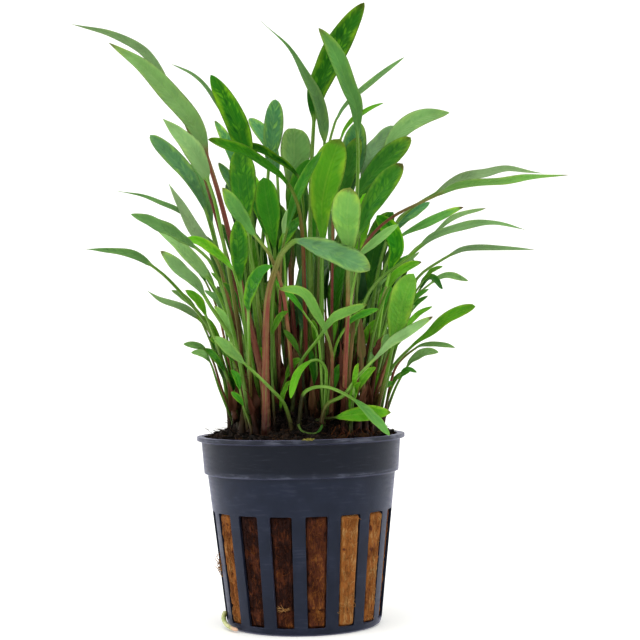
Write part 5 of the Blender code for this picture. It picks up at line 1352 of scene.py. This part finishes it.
def leafMaterial(name, look):
    # Living leaf under a thin wax cuticle: satin, netted with veins, darker cells between them.
    # A leaf carries its own place in mm, across and along, so the scales of its patterns are per mm
    material, tree, shader = newMaterial(name, {"IOR": 1.42})
    paint = {part: colour(tint) for part, tint in (look | stalkLooks).items() if part != "mottle"}
    parts = []
    for values in ("leafShares", "leafTraits", "leafMarks", "leafPlace"):
        place = addNode(tree, "Attribute", {}, "Vector", attribute_name=values)
        parts += addNode(tree, "SeparateXYZ", {0: place}).node.outputs
    acrossShare, bladePart, stalkPart, blush, burn, tone, wetnessAndShade, mottle, pale, across, along, own = parts
    under = addNode(tree, "Attribute", {}, "Fac", attribute_name="leafUnder")
    height = addNode(tree, "SeparateXYZ", {0: addNode(tree, "TexCoord", {}, "Object")}, 2)
    edgeShare = addNode(tree, "Math", {0: acrossShare}, operation="ABSOLUTE")
    fromRib = addNode(tree, "Math", {0: across}, operation="ABSOLUTE")
    cloud = addNode(tree, "TexNoise", {"Vector": place, "Scale": 0.16, "Detail": 3})
    fine = addNode(tree, "TexNoise", {"Vector": place, "Scale": 2.2, "Detail": 4})
    wide = addNode(tree, "TexNoise", {"Vector": place, "Scale": 0.11, "Detail": 2})
    stretched = addNode(tree, "Mapping", {"Vector": place, "Scale": (2.6, 0.07, 1)})
    lines = addNode(tree, "TexNoise", {"Vector": stretched, "Scale": 1, "Detail": 3})
    stretched = addNode(tree, "Mapping", {"Vector": place, "Scale": (5.0, 0.09, 1)})
    streak = addNode(tree, "TexNoise", {"Vector": stretched, "Scale": 1, "Detail": 3})
    # side veins run from the midrib forwards to the margin, 1.9 mm apart
    slanted = addUp(tree, ((along, 1), (fromRib, -1.2)))
    vein = addNode(tree, "Math", {0: slanted, 1: 2 * math.pi / 1.9}, **times)
    vein = addNode(tree, "Math", {0: vein}, operation="SINE")
    netX = addNode(tree, "Math", {0: across, 1: 0.85}, **times)
    netY = addNode(tree, "Math", {0: slanted, 1: 0.6}, **times)
    net = {"Vector": addNode(tree, "CombineXYZ", {0: netX, 1: netY, 2: own}), "Scale": 1, "Randomness": 0.75}
    toVein = addNode(tree, "TexVoronoi", net, "Distance", feature="DISTANCE_TO_EDGE")
    lot = addNode(tree, "SeparateXYZ", {0: addNode(tree, "TexVoronoi", net, "Color", feature="F1")})
    inCell = addNode(tree, "MapRange", {0: toVein, 1: 0.02, 2: 0.22}, **eased)
    patchy = addNode(tree, "MapRange", {0: cloud, 1: 0.36, 2: 0.6, 3: 0.2}, **eased)
    cell = addNode(tree, "Math", {0: inCell, 1: patchy}, **times)
    cellShow = addNode(tree, "Math", {0: cell, 1: mottle}, **times)
    centred = addNode(tree, "Math", {0: cloud, 1: 0.5}, operation="SUBTRACT")
    toMargin = addUp(tree, ((edgeShare, 1), (centred, 1.5)))
    blade = paintOver(tree, paint["blade"], (
        (lot, 0.4, 0.75, 1, paint["cell"], cellShow), (lot, 0.42, 0.15, 1, paint["deep"], cellShow),
        (vein, 0.8, 1.0, 0.08, paint["rib"]), (toMargin, 0.55, 1.15, 0.75, paint["margin"]),
        (lines, 0.5, 0.75, 0.16, paint["margin"]), (lines, 0.48, 0.3, 0.16, paint["deep"]),
        (fromRib, 0.3, 0.05, 0.22, paint["rib"])))
    under = addNode(tree, "Math", {0: under, 1: 0.75}, **times)
    blade = addNode(tree, "Mix", {0: under, 6: blade, 7: paint["under"]}, 2, **mixed)
    blade = addNode(tree, "Mix", {0: pale, 6: blade, 7: paint["film"]}, 2, **mixed)
    # stalk: green towards the blade, red or brown lower, streaked lengthwise, wet and dark at the foot,
    # where the dark is partly painted shade
    green = paintOver(tree, paint["green"], ((streak, 0.4, 0.64, 1, paint["paleGreen"]),))
    warm = paintOver(tree, paint["brown"], (
        (blush, 0.4, 0.8, 1, paint["red"]), (streak, 0.42, 0.7, 0.4, paint["paleGreen"])))
    redness = addUp(tree, ((blush, 1.25), (streak, 0.4), (stalkPart, -1)))
    stalk = paintOver(tree, green, ((redness, 0, 0.5, 1, warm),))
    # the foot's wetness and painted shade: 1 darkens up to 63 mm, 2 up to 74 mm for stalks in the middle of
    # the clump, and -1 the part of a bent stalk that dips into the peat
    above = addNode(tree, "Math", {0: wetnessAndShade, 1: 1}, operation="SUBTRACT")
    above = addNode(tree, "Math", {0: above, 1: 0}, operation="MAXIMUM")
    level = addUp(tree, ((height, 1), (above, -11 * mm)))
    soakedAndShaded = addNode(tree, "MapRange", {0: level, 1: 63 * mm, 2: 51 * mm, 4: 0.85}, **eased)
    soakedAndShaded = addNode(tree, "Math", {0: addNode(tree, "Clamp", {0: wetnessAndShade}), 1: soakedAndShaded}, **times)
    below = addNode(tree, "Math", {0: wetnessAndShade, 1: 0}, operation="MINIMUM")
    dipped = addNode(tree, "MapRange", {0: stalkPart, 1: 0.44, 2: 0.36, 4: -0.93}, **eased)
    dipped = addNode(tree, "Math", {0: below, 1: dipped}, **times)
    dark = addNode(tree, "Math", {0: soakedAndShaded, 1: dipped}, operation="ADD")
    stalk = addNode(tree, "Mix", {0: dark, 6: stalk, 7: paint["foot"]}, 2, **mixed)
    # old leaves turn yellow from the tip and the margin, and the very tip burns brown
    old = addUp(tree, ((bladePart, 1), (edgeShare, 0.22), (cloud, 0.5)))
    yellowing = addUp(tree, ((burn, 0.5), (0.05, 1)))
    ragged = addUp(tree, ((bladePart, 1), (fine, 0.08)))
    whole = paintOver(tree, stalk, (
        (bladePart, 0, 0.1, 1, blade), (old, 1.1, 1.5, 1, paint["yellow"], yellowing),
        (ragged, 0.95, 1.02, 1, paint["burn"], burn)))
    # painted shade: a blade is darker where it leaves the stalk, down in the clump; it is also uneven all
    # over
    uneven = addNode(tree, "MapRange", {0: wide, 1: 0.3, 2: 0.7, 3: 0.88, 4: 1.14}, **eased)
    paintedStalkShade = addNode(tree, "MapRange", {0: bladePart, 1: 0, 2: 0.75, 3: 0.86, 4: 1.06}, **eased)
    light = addNode(tree, "Math", {0: uneven, 1: paintedStalkShade}, **times)
    light = addNode(tree, "Math", {0: tone, 1: light}, **times)
    relief = addUp(tree, ((fine, 0.5), (cell, 0.9), (vein, -0.3)))
    connect(tree, shader, {
        "Base Color": addNode(tree, "HueSaturation", {"Color": whole, "Value": light}),
        "Specular IOR Level": addNode(tree, "MapRange", {0: pale, 1: -1, 2: 0, 3: 0.03, 4: 0.26}, **eased),
        "Roughness": addNode(tree, "MapRange", {0: fine, 1: 0.3, 2: 0.7, 3: 0.34, 4: 0.5}, **eased),
        "Normal": addNode(tree, "Bump", {"Height": relief, "Strength": 0.6, "Distance": 0.16 * mm})})
    return material


sheathLook = {"olive": "5c5e2c", "tan": "7d6242", "red": "52261c", "foot": "21130d"}


def sheathMaterial():
    # Sheaths of leaves that have gone: dry tan and olive film, red-brown and wet at the foot, streaked; the
    # dark foot is partly painted shade
    material, tree, shader = newMaterial("witheredSheath", {
        "Roughness": 0.6, "IOR": 1.42, "Specular IOR Level": 0.3})
    paint = {part: colour(tint) for part, tint in sheathLook.items()}
    place, traits = (addNode(tree, "Attribute", {}, "Vector", attribute_name=values)
                     for values in ("leafPlace", "leafTraits"))
    blush = addNode(tree, "SeparateXYZ", {0: traits})
    height = addNode(tree, "SeparateXYZ", {0: addNode(tree, "TexCoord", {}, "Object")}, 2)
    stretched = addNode(tree, "Mapping", {"Vector": place, "Scale": (3.5, 0.2, 1)})
    streak = addNode(tree, "TexNoise", {"Vector": stretched, "Scale": 1, "Detail": 4})
    whole = paintOver(tree, paint["olive"], ((streak, 0.35, 0.65, 1, paint["tan"]),))
    reddened = addNode(tree, "MapRange", {0: blush, 1: 0.1, 2: 0.6, 3: 0.1, 4: 0.9}, **eased)
    whole = addNode(tree, "Mix", {0: reddened, 6: whole, 7: paint["red"]}, 2, **mixed)
    connect(tree, shader, {
        # painted shade with the wet: darker from 62 mm down to the peat
        "Base Color": paintOver(tree, whole, ((height, 62 * mm, 51 * mm, 0.9, paint["foot"]),)),
        "Normal": addNode(tree, "Bump", {"Height": streak, "Strength": 0.4, "Distance": 0.15 * mm})})
    return material


def smoothStep(low, high, value):
    t = np.clip((value - low) / (high - low), 0, 1)
    return t * t * (3 - 2 * t)


def resample(values, marks):
    # cubic curve through the stations' values, read at any station number
    rows = np.asarray(values, float)
    ends = np.concatenate([2 * rows[:1] - rows[1:2], rows, 2 * rows[-1:] - rows[-2:-1]])
    k = np.minimum(marks.astype(int), len(rows) - 2)
    t = (marks - k).reshape(-1, *([1] * (rows.ndim - 1)))
    p0, p1, p2, p3 = ends[k], ends[k + 1], ends[k + 2], ends[k + 3]
    return 0.5 * (2 * p1 + (p2 - p0) * t + (2 * p0 - 5 * p1 + 4 * p2 - p3) * t ** 2
                  + (3 * p1 - p0 - 3 * p2 + p3) * t ** 3)


def unit(rows):
    return rows / np.maximum(np.linalg.norm(rows, axis=1, keepdims=True), 1e-9)


def shapeLeaf(template, detail, row, seen, depth, number):
    # one leaf along its line of stations; draws its twist, its ripple and the traits that it has no row for
    p = leafForm
    dice = random.Random(100 + number)
    traits = traitsOf(row)
    stalkSteps, bladeSteps = p["stalkSteps"], p["bladeSteps"]
    line = np.array([placeInSpace(seen[k, 0], seen[k, 1], depth[k]) for k in range(stationCount)])
    if not traits.get("loose"):
        line[0, 2] = p["peatZ"] - 0.5
    marks = np.concatenate([np.linspace(0, stalkSteps, detail["stalk"] + 1),
                            stalkSteps + bladeSteps * np.linspace(0, 1, detail["blade"] + 1)[1:]])
    centre = resample(line, marks)
    # each ring's share of the blade and of the stalk, its width and its thickness
    blade = np.clip((marks - stalkSteps) / bladeSteps, 0, 1)
    stalk = np.clip(marks / stalkSteps, 0, 1)
    top = row[4] * (1 - p["taper"])
    wide = np.where(blade > 0, np.hypot(top * (1 - blade), row[3] * bladeOutline(row, blade)),
                    row[4] * (1 - p["taper"] * stalk))
    wide = wide * (1 + p["footFlare"] * np.exp(-stalk * 14))
    thin = p["bladeThickness"] - p["bladeThinning"] * blade
    thick = np.where(blade > 0, np.maximum(thin, top * 0.9 * (1 - 5 * blade)), wide * 0.9)
    wide[-1] = thick[-1] = p["tipWidth"]
    # which way each ring faces: to the front, rolled and twisted about the leaf's own line
    along = unit(np.gradient(centre, axis=0))
    facing = unit(np.array([0, -1.0, 0]) - along * (along @ np.array([0, -1.0, 0]))[:, None])
    leansLeft = 1 if seen[-1, 0] < seen[0, 0] else -1
    upward = np.cross(along, facing) * leansLeft
    twist = math.radians(dice.uniform(-8, 8)) * np.sin(blade * math.pi)
    roll = math.radians(row[5]) + twist
    normal = facing * np.cos(roll)[:, None] + upward * np.sin(roll)[:, None]
    side = np.cross(along, normal)
    flat = smoothStep(0.0, 0.16, blade)
    waves = dice.uniform(1.5, 3.0)
    phase = dice.uniform(0, 6.28), dice.uniform(0, 6.28)
    ripple = dice.uniform(0.02, 0.07) * row[3]
    arc = np.concatenate([[0], np.cumsum(np.linalg.norm(np.diff(centre, axis=0), axis=1))])

    # the template's points: a round stalk that spreads into a flat, folded and rippled blade with a midrib
    form = np.array([v.co[:] for v in template.data.vertices])
    ring = np.rint(form[:, 2] * (len(marks) - 1)).astype(int)
    turn = np.arctan2(form[:, 1], form[:, 0])
    middle = np.hypot(form[:, 0], form[:, 1]) < 0.5
    upper = np.where(np.sin(turn) >= -1e-6, 1.0, -1.0)
    across = 1 - 2 * np.abs(turn) / math.pi
    edge = np.abs(across) > 0.999
    f, bladeHere, halfWide, halfThick = flat[ring], blade[ring], wide[ring] / 2, thick[ring] / 2
    rib = np.exp(-(across * halfWide / p["ribWidth"]) ** 2) * np.clip(1 - bladeHere, 0.15, 1)
    wave = np.where(across > 0, np.sin(waves * 2 * math.pi * bladeHere + phase[0]),
                    np.sin(waves * 2 * math.pi * bladeHere + phase[1]))
    lift = p["fold"] * np.abs(across) * halfWide
    lift = lift + ripple * wave * np.abs(across) ** 1.5 * np.sin(math.pi * bladeHere)
    ribUp = np.where(upper > 0, -p["ribGroove"] * rib, -p["ribKeel"] * rib)
    spreadUp = lift + upper * halfThick * np.sqrt(np.clip(1 - across ** 2, 0, 1)) + ribUp
    offsetSide = np.cos(turn) * halfWide * (1 - f) + across * halfWide * f
    offsetUp = np.sin(turn) * halfThick * (1 - f) + spreadUp * f
    offsetSide[middle] = offsetUp[middle] = 0
    points = centre[ring] + side[ring] * offsetSide[:, None] + normal[ring] * offsetUp[:, None]
    mesh = template.data.copy()
    mesh.vertices.foreach_set("co", (points * mm).astype(np.float32).ravel())

    # what the leaf's material reads: shares and place of each point, then the leaf's traits. Its own
    # number sets its pattern apart
    footPlace = row[8][0][0]
    drawn = "count" in traits
    amidst = -8 < footPlace < 8 and drawn
    usual = dice.choice((0.3, 0.4, 0.6, 0.75) if amidst else (-0.3, 0.0, 0.3, 0.5, 0.75))
    blush = traits.get("blush", usual)
    # a stalk whose foot stands in the middle of the clump gets a darker foot, as painted shade
    shaded = -8 < footPlace < 2.5 and row[1] != "old_sheath"
    wetnessAndShade = traits.get("wetnessAndShade", 2.0 if shaded else 1.0)
    burn = traits.get("burn", 0.5 if dice.random() < 0.2 else 0.0)
    # tone: the leaf's brightness, partly painted light and shade
    uneven = 1 if "tone" in traits and not drawn else dice.uniform(0.85, 1.15)
    tone = traits.get("tone", 1.0) * uneven
    mottle = traits.get("mottle", leafLooks.get(row[1], {}).get("mottle", 0))
    own = np.full(len(ring), number * 3.7)
    for name, values in (
            ("leafShares", np.column_stack([across * f, bladeHere, stalk[ring]])),
            ("leafPlace", np.column_stack([across * halfWide, arc[ring] - arc[detail["stalk"]], own])),
            ("leafTraits", np.tile([blush, burn, tone], (len(ring), 1))),
            ("leafMarks", np.tile([wetnessAndShade, mottle, traits.get("pale", 0.0)], (len(ring), 1)))):
        setAttribute(mesh, name, values, "FLOAT_VECTOR")
    setAttribute(mesh, "leafUnder", np.where(edge, 0.5, (1 - upper) / 2) * f)
    mesh.update()
    return addObject(row[0], mesh)


def makeLeaves():
    materials = {name: leafMaterial(name.replace("leaf_", "") + "LeafCuticle", look)
                 for name, look in leafLooks.items()}
    materials["old_sheath"] = sheathMaterial()
    # a slim closed tube of rings, which every leaf copies and bends to its own form
    templates = {name: ringedCylinder(detail["sides"], detail["stalk"] + detail["blade"] - 1)
                 for name, detail in leafForm["details"].items()}
    frameCount = len(frameLeaves)
    plannedCount = frameCount + len(moreLeaves)
    rows = frameLeaves + moreLeaves + fillRows()
    places = [leafStations(row) for row in rows]
    seen = np.array([place[0] for place in places])
    depth = np.array([place[1] for place in places])
    depth[:frameCount] = makeRoom(frameLeaves, seen[:frameCount], depth[:frameCount])
    depth = makeRoom(rows, seen, depth, frameCount, 120, 2)
    furthest = 0.0
    groups = {}
    for number, row in enumerate(rows):
        kind = "full" if number < plannedCount else "light"
        detail = leafForm["details"][kind]
        leaf = shapeLeaf(templates[kind], detail, row, seen[number], depth[number], number)
        if number < frameCount:
            tip = Vector(placeInSpace(seen[number, -1, 0], seen[number, -1, 1], depth[number, -1])) * mm
            low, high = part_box(row[0])
            furthest = max(furthest, *(max(low[i] - tip[i], tip[i] - high[i]) for i in range(3)))
            finishPiece(leaf, "foliage_" + row[0], [row[0]], materials[row[1]])
        else:
            groups.setdefault((row[0].split("_")[0], row[1]), []).append(leaf)
    for (group, finish), leaves in groups.items():
        pick(leaves)
        if len(leaves) > 1:
            bpy.ops.object.join()
        finishPiece(bpy.context.object, f"{group}Foliage_{finish.split('_')[1]}", [],
                    materials[finish])
    for template in templates.values():
        bpy.data.objects.remove(template)
    print("leaves", len(rows), "furthest tip outside its node, mm:", round(furthest / mm, 3))


# Root tip, in mm: its path by distance from the axis, angle in degrees and height
rootTip = {
    "path": ((21.0, -82, 3.7), (21.6, -78, 2.6), (21.75, -70, 1.6), (21.7, -60, 1.0), (21.5, -52, 0.85)),
    "radius": 0.66, "taper": 0.3, "endRadii": [0.3, 0.12], "sides": 12,
    "cream": "cfd0a0", "green": "9dae5c", "pink": "d9b79e",
}


def rootMaterial():
    # Fresh root: pale cream with a green tinge, smooth and a little waxy
    material, tree, shader = newMaterial("freshRoot", {
        "Roughness": 0.45, "IOR": 1.4, "Subsurface Weight": 0.2, "Subsurface Radius": (1.0, 0.8, 0.4),
        "Subsurface Scale": 0.5 * mm})
    cream, green, pink = (colour(rootTip[name]) for name in ("cream", "green", "pink"))
    place = addNode(tree, "TexCoord", {}, "Object")
    across = addNode(tree, "SeparateXYZ", {0: place})
    # patches of 4 mm, and a pink tinge where it comes out, up to 18 mm left of the axis
    patches = addNode(tree, "TexNoise", {"Vector": place, "Scale": 0.26 / mm, "Detail": 3})
    connect(tree, shader, {"Base Color": paintOver(tree, cream, (
        (patches, 0.38, 0.62, 1, green), (across, -19.7 * mm, -18.2 * mm, 1, pink)))})
    return material


def makeRootTip():
    r = rootTip
    line = [Vector(point) for point in smoothPath([aroundAxis(*place)[:] for place in r["path"]], 8)[0]]
    radii = [r["radius"] * (1 - r["taper"] * k / len(line)) for k in range(len(line) - 2)] + r["endRadii"]
    root = tubes("rootTip", [(line, radii, 0.5)], r["sides"])
    finishPiece(root, "freshRootTip", ["root_tip"], rootMaterial())
    print("root tip")


def main():
    makeCamera()
    makeStudio()
    makeNetPot()
    makeRockWool()
    makeWoolFibres()
    makePeat()
    makeCrumbs()
    makeLooseBits()
    makeRootTip()
    makeLeaves()


main()
